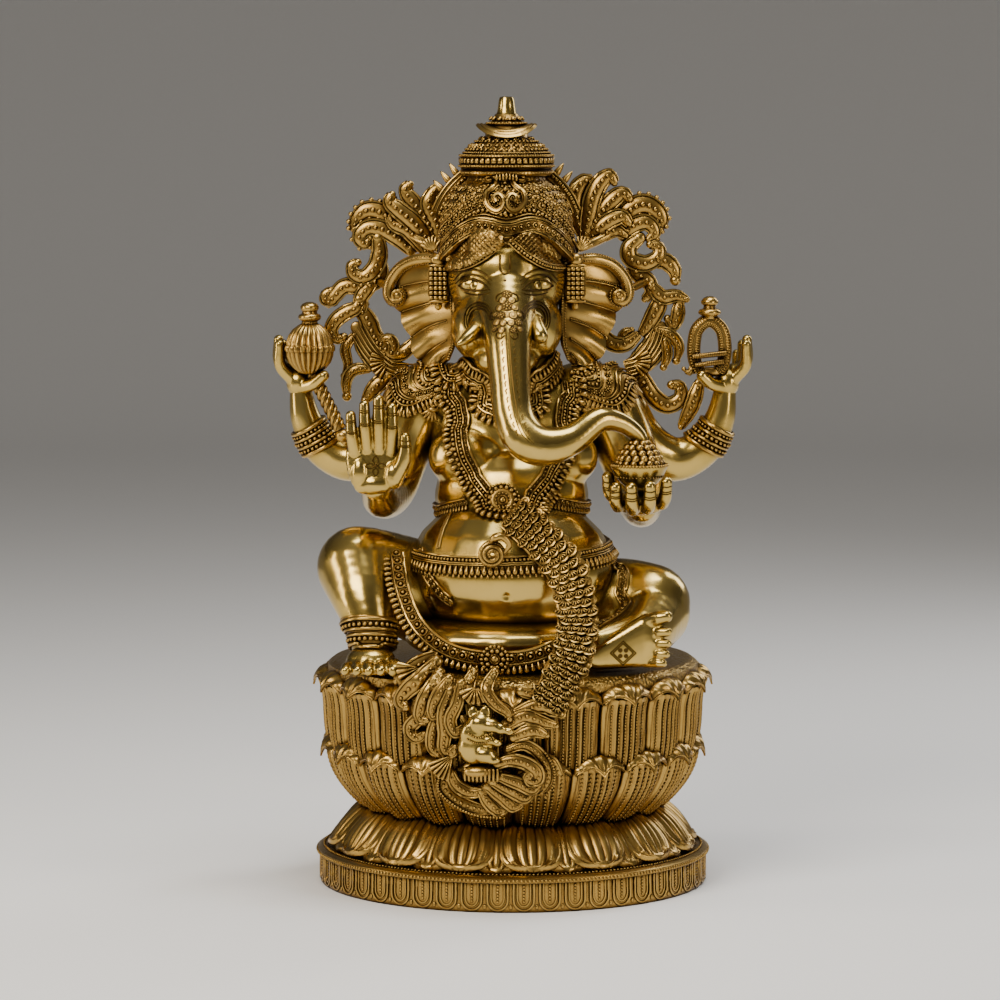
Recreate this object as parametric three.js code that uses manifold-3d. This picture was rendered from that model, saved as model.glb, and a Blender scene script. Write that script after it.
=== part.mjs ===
// Seated elephant-headed deity on a lotus pedestal: a cast brass idol in its separate castings.
// Millimetres, +Z up, front towards -Y, origin at the centre of the pedestal's foot.
// "_l" and "_r" are the viewer's left and right.
import * as THREE from "three";
import { mergeVertices } from "three/addons/utils/BufferGeometryUtils.js";
import { ConvexGeometry } from "three/addons/geometries/ConvexGeometry.js";
import Module from "manifold-3d";

const wasm = await Module();
wasm.setup();

// ---- driving dimensions ----
const HEIGHT = 610; // foot to the tip of the crown
const SEAT_TOP = 174.5; // upper face of the lotus seat
const BASE_R = 153.4; // radius of the plinth's beaded rim
const PLINTH_H = 54; // height of the plinth under the lotus bowl
const BELLY = 80; // half width of the belly
const TRUNK = 1; // trunk thickness, 1 = 36 mm at the tusks
const LIMB = 1; // arm and leg thickness
const EAR = 1; // ear spread
const WALL = 5; // wall of the hollow castings
const GAP = 0.5; // clearance cut round a piece before its neighbour is trimmed to it
const PETALS = 20; // petals in each row of the bowl
const PLINTH_PETALS = 16; // drooping petals on the plinth

// The figure was laid out on a 610 mm idol sitting at 174.5 mm; it scales with HEIGHT.
const K = (HEIGHT - SEAT_TOP) / (610 - 174.5);
const B = BASE_R / 153.4;

// ---- solids ----
function volume(geometry) {
  const p = geometry.attributes.position;
  const at = (i) => new THREE.Vector3().fromBufferAttribute(p, geometry.index.getX(i));
  let sum = 0;
  for (let i = 0; i < geometry.index.count; i += 3) sum += at(i).dot(at(i + 1).cross(at(i + 2)));
  return sum / 6;
}

// Moves every vertex out until each face round it has moved by at least "by".
function grow(geometry, by) {
  const p = geometry.attributes.position;
  const index = geometry.index;
  const facesAt = Array.from({ length: p.count }, () => []);
  const at = (i) => new THREE.Vector3().fromBufferAttribute(p, i);
  for (let i = 0; i < index.count; i += 3) {
    const [a, b, c] = [0, 1, 2].map((k) => index.getX(i + k));
    const normal = at(b).sub(at(a)).cross(at(c).sub(at(a)));
    if (normal.length() < 1e-6) continue;
    normal.normalize();
    for (const v of [a, b, c]) {
      if (!facesAt[v].some((f) => f.dot(normal) > 0.999)) facesAt[v].push(normal);
    }
  }
  facesAt.forEach((faces, i) => {
    if (!faces.length) return;
    const mean = faces.reduce((sum, f) => sum.add(f), new THREE.Vector3()).normalize();
    const least = Math.min(...faces.map((f) => f.dot(mean)));
    mean.multiplyScalar(by / Math.max(least, 0.2)).add(at(i));
    p.setXYZ(i, mean.x, mean.y, mean.z);
  });
}

function toSolid(geometry, swell = 0) {
  const g = geometry.clone();
  g.deleteAttribute("normal");
  g.deleteAttribute("uv");
  const merged = mergeVertices(g, 1e-4);
  if (volume(merged) < 0) merged.index.array.reverse();
  if (swell) grow(merged, swell);
  const mesh = new wasm.Mesh({
    numProp: 3,
    vertProperties: Float32Array.from(merged.attributes.position.array),
    triVerts: Uint32Array.from(merged.index.array),
  });
  return new wasm.Manifold(mesh);
}

function join(geometries, swell = 0) {
  return geometries.map((g) => toSolid(g, swell)).reduce((a, b) => a.add(b));
}

function biggest(solid) {
  const bodies = solid.decompose();
  return bodies.reduce((a, b) => (a.volume() > b.volume() ? a : b));
}

function toGeometry(solid) {
  const mesh = solid.getMesh();
  const g = new THREE.BufferGeometry();
  g.setAttribute("position", new THREE.BufferAttribute(mesh.vertProperties, 3));
  g.setIndex(new THREE.BufferAttribute(mesh.triVerts, 1));
  g.computeVertexNormals();
  return g;
}

// ---- primitives ----
function ball(x, y, z, rx, ry, rz, n = 12) {
  const g = new THREE.SphereGeometry(1, n, Math.round(n * 0.6));
  g.rotateX(Math.PI / 2);
  g.scale(rx, ry, rz);
  g.translate(x, y, z);
  return g;
}

function hull(points) {
  return new ConvexGeometry(points.map((p) => new THREE.Vector3(...p)));
}

// A chain of tapered capsules through [x, y, z, r].
function limb(joints, n = 8) {
  const sphere = (j) => {
    const p = new THREE.SphereGeometry(j[3], n, Math.max(4, Math.round(n * 0.6))).attributes.position;
    return Array.from({ length: p.count }, (_, i) => [p.getX(i) + j[0], p.getZ(i) + j[1], p.getY(i) + j[2]]);
  };
  return joints.slice(1).map((j, i) => hull([...sphere(joints[i]), ...sphere(j)]));
}

// A flat strap through [x, y, z], its width across the path and its thickness along "out".
function strap(points, width, thick, out = [0, -1, 0], closed = false) {
  const v = points.map((p) => new THREE.Vector3(...p));
  const count = v.length;
  const stations = v.map((p, i) => {
    const a = v[closed ? (i + count - 1) % count : Math.max(i - 1, 0)];
    const b = v[closed ? (i + 1) % count : Math.min(i + 1, count - 1)];
    const along = b.clone().sub(a).normalize();
    const o = typeof out === "function" ? out(p) : new THREE.Vector3(...out);
    const side = along.clone().cross(o).normalize().multiplyScalar(width / 2);
    const up = side.clone().cross(along).normalize().multiplyScalar(thick / 2);
    return [
      p.clone().add(side).add(up),
      p.clone().add(side).sub(up),
      p.clone().sub(side).add(up),
      p.clone().sub(side).sub(up),
    ];
  });
  const last = closed ? count : count - 1;
  return Array.from({ length: last }, (_, i) => new ConvexGeometry([...stations[i], ...stations[(i + 1) % count]]));
}

const radial = (cx, cy) => (p) => new THREE.Vector3(p.x - cx, p.y - cy, 0).normalize();

// A round rod swept along a smooth curve.
function rod(points, r, steps = 3, sides = 7) {
  const shape = new THREE.Shape();
  for (let i = 0; i < sides; i++) {
    const a = (2 * Math.PI * i) / sides;
    i ? shape.lineTo(r * Math.cos(a), r * Math.sin(a)) : shape.moveTo(r, 0);
  }
  const path = new THREE.CatmullRomCurve3(points.map((p) => new THREE.Vector3(...p)));
  return new THREE.ExtrudeGeometry(shape, {
    steps: (points.length - 1) * steps,
    bevelEnabled: false,
    extrudePath: path,
  });
}

// A turned piece from a closed or axis-to-axis profile of [r, z].
function turned(profile, n = 40, x = 0, y = 0) {
  const g = new THREE.LatheGeometry(profile.map((p) => new THREE.Vector2(p[0], p[1])), n);
  g.rotateX(Math.PI / 2);
  g.translate(x, y, 0);
  return g;
}

// A plate cut from an outline of [x, z], its back face at y.
function plate(outline, y, thick) {
  const shape = new THREE.Shape(outline.map((p) => new THREE.Vector2(p[0], p[1])));
  const g = new THREE.ExtrudeGeometry(shape, { depth: thick, bevelEnabled: false });
  g.rotateX(Math.PI / 2);
  g.translate(0, y, 0);
  return g;
}

function around(count, offset, make) {
  return Array.from({ length: count }, (_, i) => {
    const a = ((i + offset) * 2 * Math.PI) / count;
    return make(a, (r, t, z) => [r * Math.sin(a) + t * Math.cos(a), -r * Math.cos(a) + t * Math.sin(a), z]);
  });
}

const mirror = (points, axis) => points.map(([x, ...rest]) => [2 * axis - x, ...rest]);

// ---- the assembly ----
const group = new THREE.Group();
group.name = "ganesha_idol";
const placed = [];
const LOOKS = {
  polished_brass: { color: 0xc9a24a, roughness: 0.22, metalness: 1 },
  antiqued_brass: { color: 0x9c7434, roughness: 0.42, metalness: 1 },
  steel: { color: 0x8a8c8e, roughness: 0.4, metalness: 1 },
};

const overlaps = (a, b) => [0, 1, 2].every((i) => a.min[i] < b.max[i] && b.min[i] < a.max[i]);

// Adds one casting, trimmed to every casting already in place.
// The figure's own measures are scaled about the seat; the pedestal's are not.
function place(name, look, geometries, { cut = [], figure = true, clear = GAP } = {}) {
  const fit = (g) => {
    const c = g.clone();
    if (figure) {
      c.translate(0, 0, -174.5);
      c.scale(K, K, K);
      c.translate(0, 0, SEAT_TOP);
    }
    return c;
  };
  const whole = join(geometries.map(fit));
  let solid = whole;
  for (const other of placed) {
    if (overlaps(solid.boundingBox(), other.box)) solid = solid.subtract(other.reach);
  }
  for (const g of cut) solid = solid.subtract(toSolid(fit(g)));
  solid = biggest(toSolid(toGeometry(biggest(solid))));
  const reach = join(geometries.map(fit), clear).add(whole);
  placed.push({ reach, box: reach.boundingBox() });
  const mesh = new THREE.Mesh(toGeometry(solid), new THREE.MeshStandardMaterial(LOOKS[look]));
  mesh.name = name;
  group.add(mesh);
}

// ---- pedestal ----
const S = SEAT_TOP / 174.5;
const P = PLINTH_H;
const pedestal = (profile) => profile.map(([r, z]) => [r * B, z]);

place("plinth", "antiqued_brass", [
  turned(pedestal([
    [151, 0], [151, 20], [153.4, 22], [153.4, 25], [150, 27], [136, 28.5], [103, 46],
    [103, P], [94, P], [94, 42], [132, 21], [140, 18], [140, 0], [151, 0],
  ]), 2 * PLINTH_PETALS),
], { figure: false });

place("plinth_petals", "antiqued_brass", [
  ...around(PLINTH_PETALS, 0.5, (a, at) => hull([
    at(106 * B, -23 * B, P - 2), at(106 * B, 23 * B, P - 2), at(110 * B, 0, P + 4), at(126 * B, 0, 50),
    at(126 * B, -23 * B, 41), at(126 * B, 23 * B, 41), at(138 * B, -17, 32), at(138 * B, 17, 32),
    at(147 * B, 0, 29.6), at(112 * B, -20 * B, 46), at(112 * B, 20 * B, 46),
  ])),
], { figure: false });

const bowlTop = SEAT_TOP - 11.5;
place("lotus_bowl", "antiqued_brass", [
  turned(pedestal([
    [104, P + 0.4], [118, 67], [131, 85], [137, 101], [138, 114], [134, 142], [129, bowlTop],
    [122, bowlTop], [127, 140], [131, 112], [123, 86], [95, 60], [95, P + 0.4], [104, P + 0.4],
  ]), PETALS),
], { figure: false });

// One row of overlapping petals: a sleeve on the bowl, and a curled lip on each petal.
function petalRow(name, sleeve, lipR, lipZ, offset) {
  place(name, "antiqued_brass", [
    turned(pedestal(sleeve), PETALS),
    ...around(PETALS, offset, (a, at) => {
      const r = lipR * B;
      const w = 21 * B;
      return hull([
        at(r - 4, -w, lipZ - 6), at(r - 4, w, lipZ - 6), at(r + 2, -w * 0.8, lipZ - 2), at(r + 2, w * 0.8, lipZ - 2),
        at(r - 3, -w * 0.6, lipZ + 6), at(r - 3, w * 0.6, lipZ + 6), at(r, 0, lipZ + 9), at(r + 7, 0, lipZ + 1),
      ]);
    }),
  ], { figure: false });
}
petalRow("bowl_petals_lower", [
  [119.5, 66], [134, 80], [141, 98], [142, 108], [139.2, 108], [138.2, 101], [132.2, 84.6], [119.5, 66],
], 141.5, 108 * S, 0.5);
petalRow("bowl_petals_upper", [
  [139.2, 118], [142.4, 118], [142.5, 156 * S], [132.3, 156 * S], [135.4, 142], [139.2, 118],
], 146.3, 158 * S, 0);

const STUD_R = 5;
place("lotus_seat", "polished_brass", [
  turned([
    [STUD_R + 1, SEAT_TOP], [138 * B, SEAT_TOP], [140 * B, SEAT_TOP - 4], [138 * B, SEAT_TOP - 10],
    [119 * B, SEAT_TOP - 10], [119 * B, SEAT_TOP - 18], [114 * B, SEAT_TOP - 18], [114 * B, SEAT_TOP - 7],
    [STUD_R + 1, SEAT_TOP - 7], [STUD_R + 1, SEAT_TOP],
  ], PETALS),
], { figure: false });

const cylinder = (r, z0, z1, n, x = 0, y = 0) => {
  const g = new THREE.CylinderGeometry(r, r, z1 - z0, n);
  g.rotateX(Math.PI / 2);
  g.translate(x, y, (z0 + z1) / 2);
  return g;
};
place("tie_stud", "steel", [cylinder(STUD_R, SEAT_TOP - 24, SEAT_TOP + 30, 16)], { figure: false, clear: 0.35 });
place("tie_nut", "steel", [
  turned([
    [6.8, SEAT_TOP - 17], [11, SEAT_TOP - 17], [11, SEAT_TOP - 8], [6.8, SEAT_TOP - 8], [6.8, SEAT_TOP - 17],
  ], 6),
], { figure: false });

// ---- torso: hollow, open beneath, with a bridge for the tie stud ----
const bw = BELLY / 80;
const torso = (t) => [
  ball(-1, -38, 246, BELLY - t, 72 * bw - t, 62 - t, 14),
  ball(0, -8, 212, 90 * bw - t, 62 - t, 46 - t, 12),
  ball(-1, -22, 302, 61 - t, 52 - t, 52 - t, 10),
  ball(-1, -8, 350, 68 - t, 48 - t, 52 - t, 10),
];
const shoulders = [
  ball(-32, -30, 338, 33, 30, 30, 8),
  ball(32, -30, 338, 33, 30, 30, 8),
  ball(-52, -2, 378, 34, 32, 28, 8),
  ball(52, -2, 378, 34, 32, 28, 8),
  ball(-3, -14, 402, 38, 38, 34, 8),
];
const belowSeat = new THREE.BoxGeometry(400, 400, 60);
belowSeat.translate(0, 0, 174.5 - 29.6);
const bridge = new THREE.BoxGeometry(190, 26, 16);
bridge.translate(0, 0, 183);
const hollow = toGeometry(join(torso(WALL).slice(0, 3)).subtract(toSolid(bridge)));
place("torso", "polished_brass", [...torso(0), ...shoulders], { cut: [belowSeat, hollow] });

// ---- head and trunk ----
const t = (r) => r * TRUNK;
place("head", "polished_brass", [
  ball(-5, -16, 470, 47, 48, 42, 14),
  ball(-5, -34, 440, 41, 42, 34, 12),
  ...limb([
    [-5, -50, 456, t(23)], [-4, -78, 430, t(19)], [-2.5, -97, 400, t(17)], [0, -110, 372, t(15.8)],
    [12, -119, 353, t(17)], [27, -121, 350, t(14.5)], [44, -119, 355, t(11.5)], [64, -112, 368, t(10)],
    [80, -106, 366, t(8)], [94, -101, 357, t(6)],
  ], 8),
], { cut: [] });

// ---- legs ----
const l = (r) => r * LIMB;
place("leg_folded", "polished_brass", [
  ...limb([[38, -12, 212, l(40)], [104, -34, 220, l(32)]], 10),
  ...limb([[106, -38, 212, l(30)], [94, -82, 198, l(21)], [66, -94, 192, l(17)]], 9),
], { cut: [belowSeat] });
place("leg_raised", "polished_brass", [
  ...limb([[-42, -10, 215, l(40)], [-114, -44, 248, l(34)]], 10),
  ...limb([[-118, -52, 249, l(31)], [-112, -74, 226, l(23)], [-107, -84, 208, l(17)]], 9),
], { cut: [belowSeat] });
place("lap_cloth", "antiqued_brass", [
  ball(-4, -56, 196, 78, 56, 20, 12),
], { cut: [belowSeat] });

// Toes fan out from the ball of the foot.
const toes = (from, to, r) => from.flatMap((p, i) => limb([[...p, r[i]], [...to[i], r[i] * 0.86]], 5));
place("foot_folded", "polished_brass", [
  hull([
    [57, -113, 196], [60, -115, 184], [74, -117, 179], [98, -118, 180], [104, -118, 196], [103, -116, 214],
    [90, -114, 216], [68, -112, 210], [60, -98, 190], [100, -100, 182], [100, -98, 214], [66, -96, 208],
  ]),
  ...toes(
    [[100, -110, 213], [101, -111, 204], [102, -111, 196.5], [102, -111, 190], [101, -111, 184]],
    [[113, -113, 219], [113, -114, 208], [113, -114, 199], [112.5, -114, 191], [110, -114, 184.5]],
    [6, 4.6, 4.2, 4, 3.8],
  ),
], { cut: [belowSeat] });
place("foot_raised", "polished_brass", [
  hull([
    [-124, -80, 175.2], [-92, -80, 175.2], [-129, -112, 175.2], [-87, -112, 175.2], [-120, -66, 178], [-95, -66, 178],
    [-119, -82, 206], [-96, -82, 206], [-125, -108, 187], [-91, -108, 187], [-118, -72, 200], [-97, -72, 200],
  ]),
  ...toes(
    [[-124.5, -108, 180], [-116.5, -109, 180.4], [-108.5, -110, 180.6], [-100.5, -111, 181], [-91.5, -112, 181.6]],
    [[-126, -119, 179.6], [-117.4, -122, 179.8], [-108.6, -124, 180], [-99.8, -125, 180.2], [-90, -125, 181]],
    [3.9, 4.2, 4.4, 4.6, 5.8],
  ),
], { cut: [belowSeat] });
place("anklets", "antiqued_brass", [
  turned([
    [0, 189], [23, 189], [25, 193.5], [21, 199], [23, 204], [20, 208], [0, 208],
  ], 14, -107.5, -84),
]);

// ---- arms ----
place("arm_front_l", "polished_brass", [
  ...limb([[-68, -2, 376, l(27)], [-82, -8, 345, l(23)], [-94, -20, 309, l(19.5)], [-100, -56, 305, l(15)],
    [-103, -84, 313, l(12.5)]], 8),
]);
place("arm_front_r", "polished_brass", [
  ...limb([[68, -2, 376, l(27)], [86, -8, 340, l(24)], [96, -22, 306, l(19.5)], [97, -58, 296, l(15)],
    [98, -84, 298, l(12)]], 8),
]);
const rearArm = [[-76, 14, 372, l(24)], [-102, 20, 338, l(20.5)], [-130, 22, 327, l(17)], [-153, 22, 341, l(14.5)],
  [-163, 19, 362, l(12)], [-166, 17, 382, l(9)]];
place("arm_rear_l", "polished_brass", limb(rearArm, 8));
place("arm_rear_r", "polished_brass", limb(mirror(rearArm, 0), 8));

// ---- what the hands hold ----
place("mace_head", "antiqued_brass", [
  turned([
    [0, 394], [5, 394.5], [13, 399], [18, 408], [19, 413.5], [19, 417], [18, 422], [13, 430], [6, 435], [7, 438.5],
    [8, 441], [7, 444], [4, 447], [3, 452], [0, 453],
  ], 12, -158, 8),
]);
place("mace_shaft", "antiqued_brass", [
  ...limb([[-155, 7, 393, 5], [-145, 5, 386, 4.6], [-133, 1, 352, 4]], 8),
  ball(-131.5, 0, 345, 7, 7, 6, 8),
]);
place("noose", "antiqued_brass", [
  rod([[146, 9, 396], [140, 9, 412], [142, 9, 430], [152.6, 9, 440], [164, 9, 430], [166, 9, 412], [160, 9, 396]], 4.8, 2, 6),
  ...limb([[144, 9, 398, 5], [162, 9, 398, 5]], 6),
  ...limb([[153, 9, 444, 6], [155.5, 9, 458, 2.4]], 6),
]);
place("sweets_bowl", "antiqued_brass", [
  turned([[0, 314], [10, 314], [12, 317], [17, 323], [21, 331], [19, 332.5], [15, 326], [0, 324], [0, 314]]
    .map(([r, z]) => [r, z]), 14, 95, -104),
]);
place("sweets", "polished_brass", [
  turned([[0, 327], [16, 331], [17, 336], [13, 343], [6, 350], [0, 352]], 10, 95, -104),
]);

// ---- hands ----
place("hand_blessing", "polished_brass", [
  hull([
    [-122, -88, 322], [-84, -88, 322], [-124, -88, 344], [-85, -88, 342], [-121, -88, 354], [-88, -88, 352],
    [-112, -88, 312], [-94, -88, 312], [-120, -99, 322], [-86, -99, 322], [-122, -100, 343], [-87, -100, 341],
    [-119, -98, 352], [-90, -98, 350], [-110, -97, 314], [-96, -97, 314],
  ]),
  ...toes(
    [[-119.5, -94, 350], [-110.5, -94, 351], [-101.6, -94, 351], [-92.6, -94, 349], [-88, -97, 328]],
    [[-121.5, -94, 370], [-112, -94, 377], [-102, -94, 381.5], [-94, -94, 375.5], [-83, -98, 353.5]],
    [4.9, 5.2, 5.4, 5.2, 6],
  ),
]);
place("hand_bowl", "polished_brass", [
  hull([
    [80, -92, 300], [114, -92, 300], [78, -110, 304], [118, -110, 306], [84, -116, 311], [112, -116, 311],
    [88, -92, 312], [108, -92, 312], [88, -100, 296], [110, -100, 296],
  ]),
  ...toes(
    [[80, -112, 305], [91, -116, 303], [102, -116, 304], [113, -112, 308], [84, -96, 308]],
    [[78, -119, 318], [89, -123, 318], [102, -123, 320], [115, -118, 322], [74, -100, 324]],
    [5, 5.2, 5.2, 5, 5],
  ),
  ...limb([[94, -86, 292, 9], [89, -80, 274, 6], [86, -74, 254, 7]], 8),
]);
const grip = [
  [[-170, 18, 392], [-172, 20, 396], [-173, 22, 398], [-171, 12, 390], [-162, 10, 388]],
  [[-181, 12, 415], [-184, 18, 412], [-182, 24, 408], [-178, 6, 408], [-148, 2, 395]],
  [4.6, 4.6, 4.2, 4.4, 4.8],
];
const palm = limb([[-166, 17, 384, 9], [-168, 17, 394, 9.5]], 8);
place("hand_rear_l", "polished_brass", [...palm, ...toes(...grip)]);
place("hand_rear_r", "polished_brass", [
  ...limb(mirror([[-166, 17, 384, 9], [-168, 17, 394, 9.5]], 0), 8),
  ...toes(mirror(grip[0], 0), mirror(grip[1], 0), grip[2]),
]);

// ---- ears, tusks ----
const earL = [
  [-48, 482], [-64, 484], [-84, 481], [-95, 472], [-98, 458], [-91, 449], [-88, 441], [-84, 431], [-79, 421],
  [-76, 411], [-70, 403], [-58, 404], [-47, 412], [-42, 436],
];
const earR = mirror(earL, -3.5);
const spread = (outline, cx) => outline.map(([x, z]) => [cx + (x - cx) * EAR, z]);
place("ear_l", "polished_brass", [plate(spread(earL, -42), 6, 8)]);
place("ear_r", "polished_brass", [plate(spread(earR, 35), 6, 8)]);
place("tusk_l", "polished_brass", limb([[-20, -60, 438, 8], [-28, -76, 430, 6.5], [-39, -84, 425, 3]], 8));
place("tusk_r", "polished_brass", limb([[13, -60, 440, 9], [18, -76, 433, 7.5], [20, -80, 427, 6]], 8));

// ---- crown ----
const CX = -5;
const CY = -8;
place("crown_body", "antiqued_brass", [
  turned([
    [0, 488], [50, 488], [50.5, 505], [48.5, 522], [44, 534], [36, 542], [30, 546], [30, 549.5], [0, 549.5],
  ], 20, CX, CY),
]);
place("crown_hem", "antiqued_brass", [
  ...strap([
    [-58, -8, 484], [-48, -44, 496], [-27, -60, 514], [-5, -64, 509], [17, -60, 514], [38, -44, 496], [48, -8, 484],
    [38, 36, 486], [-5, 50, 488], [-48, 36, 486],
  ], 13, 11, radial(CX, CY), true),
  ...[-1, 1].map((s) => hull([
    [CX + s * 48, -24, 482], [CX + s * 38, -48, 486], [CX + s * 24, -62, 492], [CX + s * 5, -69, 502],
    [CX + s * 6, -66, 510], [CX + s * 24, -60, 511], [CX + s * 38, -48, 499], [CX + s * 30, -30, 498], [CX, -40, 506],
  ])),
]);
place("crown_band", "antiqued_brass", [
  turned([
    [0, 550.2], [34, 550.2], [35.5, 552.5], [34, 555], [32, 556.5], [36, 558], [37.5, 561], [36, 565], [0, 565],
  ], 20, CX, CY),
]);
place("crown_dome", "antiqued_brass", [
  turned([
    [0, 565.6], [33, 565.6], [31, 570], [26, 576], [17, 581], [23, 586.5], [21, 589], [0, 589],
  ], 16, CX, CY),
]);
place("crown_finial", "polished_brass", [
  turned([
    [0, 589.6], [9, 589.6], [14, 593.6], [9, 597], [6.2, 598], [6.6, 604], [5.6, 608.5], [4, 610], [0, 610],
  ], 16, CX, CY),
]);
function rays(name, s) {
  const root = [[-50, 504], [-54, 522], [-48, 538], [-38, 550], [-32, 560]].map(([x, z]) => [CX + s * (x - CX), 8, z]);
  const tips = [[-60.9, 544.2], [-56, 552], [-50, 557.6], [-42.9, 562.1]];
  place(name, "antiqued_brass", [
    ...strap(root, 10, 6),
    ...tips.flatMap(([x, z], i) => {
      const foot = root[Math.min(i + 1, 4)];
      return limb([[foot[0], 8, foot[2], 4], [CX + s * (x - CX), 9, z, 1]], 4);
    }),
  ]);
}
rays("crown_rays_l", 1);
rays("crown_rays_r", -1);
function earPendant(name, x) {
  place(name, "antiqued_brass", [
    ...strap([[x, -17, 484], [x, -20, 468], [x, -18, 452]], 9, 9),
    ball(x - Math.sign(x) * -1.5, -12, 494, 8, 8, 9, 8),
    ball(x, -17, 448, 6, 6, 6, 8),
  ]);
}
earPendant("ear_pendant_l", -59);
earPendant("ear_pendant_r", 49);

// ---- jewellery ----
const disc = (x, y, z, r, thick, n = 14) => {
  const g = new THREE.CylinderGeometry(r, r, thick, n);
  g.translate(x, y, z);
  return g;
};
function bangle(name, x) {
  const s = Math.sign(x);
  place(name, "antiqued_brass", [
    hull([-6, 6].flatMap((step) => Array.from({ length: 10 }, (_, i) => {
      const a = (i * Math.PI) / 5;
      const r = 18.5;
      return [
        s * (154 + step * 0.45 + r * Math.cos(a) * 0.89), 21.6 + r * Math.sin(a), 342 + step * 0.89 - r * Math.cos(a) * 0.45,
      ];
    }))),
  ]);
}
bangle("bangle_rear_l", -1);
bangle("bangle_rear_r", 1);
place("shoulder_cape_l", "antiqued_brass", [ball(-70, -2, 381, 31, 34, 27, 10)]);
place("shoulder_cape_r", "antiqued_brass", [ball(70, -2, 381, 31, 34, 27, 10)]);
place("collar", "antiqued_brass", strap([
  [-50, -34, 404], [-36, -52, 388], [-18, -62, 376], [0, -64, 371], [18, -62, 376], [36, -52, 388], [46, -34, 404],
], 22, 16, radial(-2, 20)));
place("necklace", "antiqued_brass", strap([
  [-47, -34, 384], [-45, -52, 362], [-41, -62, 340], [-34, -68, 320], [-22, -74, 303], [-5, -78, 297],
  [14, -76, 302], [28, -70, 316], [38, -64, 336], [44, -52, 360], [44, -34, 384],
], 15, 9, radial(-2, 20)).concat(disc(-7.4, -84, 303, 11, 9)));
const bellyOut = radial(-1, -30);
const coil = new THREE.TorusGeometry(8, 4, 6, 10);
coil.rotateX(Math.PI / 2);
coil.translate(-16, -112, 267);
place("belt", "antiqued_brass", strap(
  Array.from({ length: 14 }, (_, i) => {
    const a = (i * Math.PI) / 7;
    const front = -Math.cos(a);
    return [-1 + (BELLY + 1) * Math.sin(a), front < 0 ? -38 + 73 * bw * front : -36 + 66 * bw * front, 263 + 4 * front];
  }), 13, 13, bellyOut, true).concat(coil, limb([[-16, -110, 277, 5], [-2, -112, 262, 5]], 7)));
place("sash", "antiqued_brass", strap([
  [0, -92, 293], [20, -104, 277], [41, -108, 250], [45, -116, 220], [43, -134, 194], [31, -152, 172], [22, -162, 158],
], 27, 9));
place("garland", "antiqued_brass", strap([
  [-86, -70, 262], [-84, -90, 236], [-70, -106, 211], [-50, -116, 195], [-28, -122, 188], [-8, -124, 187], [14, -124, 189],
  [28, -126, 195],
], 13, 9));

// ---- vehicle and foliage on the front of the pedestal ----
const bowlFront = 150 * B;
const F = (x, d, z) => [x, -bowlFront - d, z];
place("mouse", "polished_brass", [
  ...limb([[...F(-30, 10, 130), 11], [...F(-22, 12, 116), 9]], 8),
  ...limb([[...F(-26, 12, 138), 8], [...F(-12, 14, 147), 7.5], [...F(-4, 17, 143), 4]], 8),
  ...limb([[...F(-24, 12, 112), 5], [...F(-14, 15, 108), 4]], 6),
  ...limb([[...F(-12, 12, 152), 4], [...F(-9, 12, 157), 3]], 6),
], { figure: false });
place("foliage", "antiqued_brass", [
  ...[
    [-76, 168, 18, -18], [-44, 172, 22, -6], [-78, 150, 14, -12], [-62, 128, 13, -6], [-55, 106, 13, -6], [-36, 88, 14, -8],
    [-14, 82, 14, -8], [8, 90, 14, -8], [22, 108, 13, -6], [28, 132, 14, -4], [36, 156, 15, -4],
  ].map(([x, z, w, d]) => hull([
    F(x - w, d, z), F(x + w, d, z), F(x, d + 3, z - w), F(x, d + 3, z + w), F(x * 0.5 - 8, d + 11, z * 0.5 + 64),
    F(-18, -16, 128), F(-12, 2, 130), F(-24, 2, 126),
  ])),
], { figure: false });

// ---- scroll arch behind the shoulders ----
const AY = 30;
const A = (points) => points.map(([x, z]) => [x, AY, z]);
function arch(side, s, c) {
  const at = (x, z) => [c + s * x, z];
  const path = (list) => A(list.map(([x, z]) => at(x, z)));
  const slab = (list, thick) => plate(list.map(([x, z]) => at(x, z)), AY + thick / 2, thick);
  place(`arch_crest_${side}`, "antiqued_brass", [
    slab([[-50, 488], [-66, 496], [-84, 512], [-96, 526], [-90, 538], [-76, 544], [-66, 538], [-58, 522], [-50, 506]], 12),
    rod(path([[-90, 524], [-104, 529], [-119, 522], [-125, 511], [-118, 502], [-108, 500]]), 8, 2, 6),
  ]);
  place(`arch_scroll_${side}`, "antiqued_brass", [
    rod(path([[-108, 506], [-104, 494], [-112, 482], [-126, 472], [-140, 464], [-145, 453], [-134, 444], [-122, 446]]), 7.5, 2, 6),
    ...limb([[c + s * -108, AY - 2, 484, 5], [c + s * -92, 9, 464, 4.5], [c + s * -86, 4, 463, 4.5]], 7),
  ]);
  place(`arch_leaf_${side}`, "antiqued_brass", [
    rod(path([[-124, 446], [-137, 438], [-141, 424], [-135, 412], [-132, 400], [-134, 378]]), 5, 2, 6),
    rod(path([[-124, 444], [-114, 436], [-113, 422], [-124, 418]]), 5, 2, 6),
    slab([[-124, 430], [-112, 432], [-98, 424], [-80, 420], [-72, 408], [-78, 396], [-88, 384], [-104, 388], [-116, 404]], 10),
    ...limb([[...path([[-104, 386]])[0], 7], [...path([[-117, 370]])[0], 5]], 7),
  ]);
}
arch("l", 1, 0);
arch("r", -1, -4);

export default group;
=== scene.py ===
# %% [markdown]
# # A cast brass idol on a lotus pedestal
# The real object is a lost-wax brass casting of a seated elephant-headed deity. Smooth skin is
# buffed bright, and chased ornament keeps a dark brown patina in its recesses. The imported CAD
# model is the fixed frame: it gives the size and the place of every casting, and the pieces here
# stand for its nodes. Everything is laid out in millimetres and turned into metres at the end.
# %% Load the frame and measure it
import math

import bpy
import numpy as np
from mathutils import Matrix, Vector
from mathutils.bvhtree import BVHTree


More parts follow.
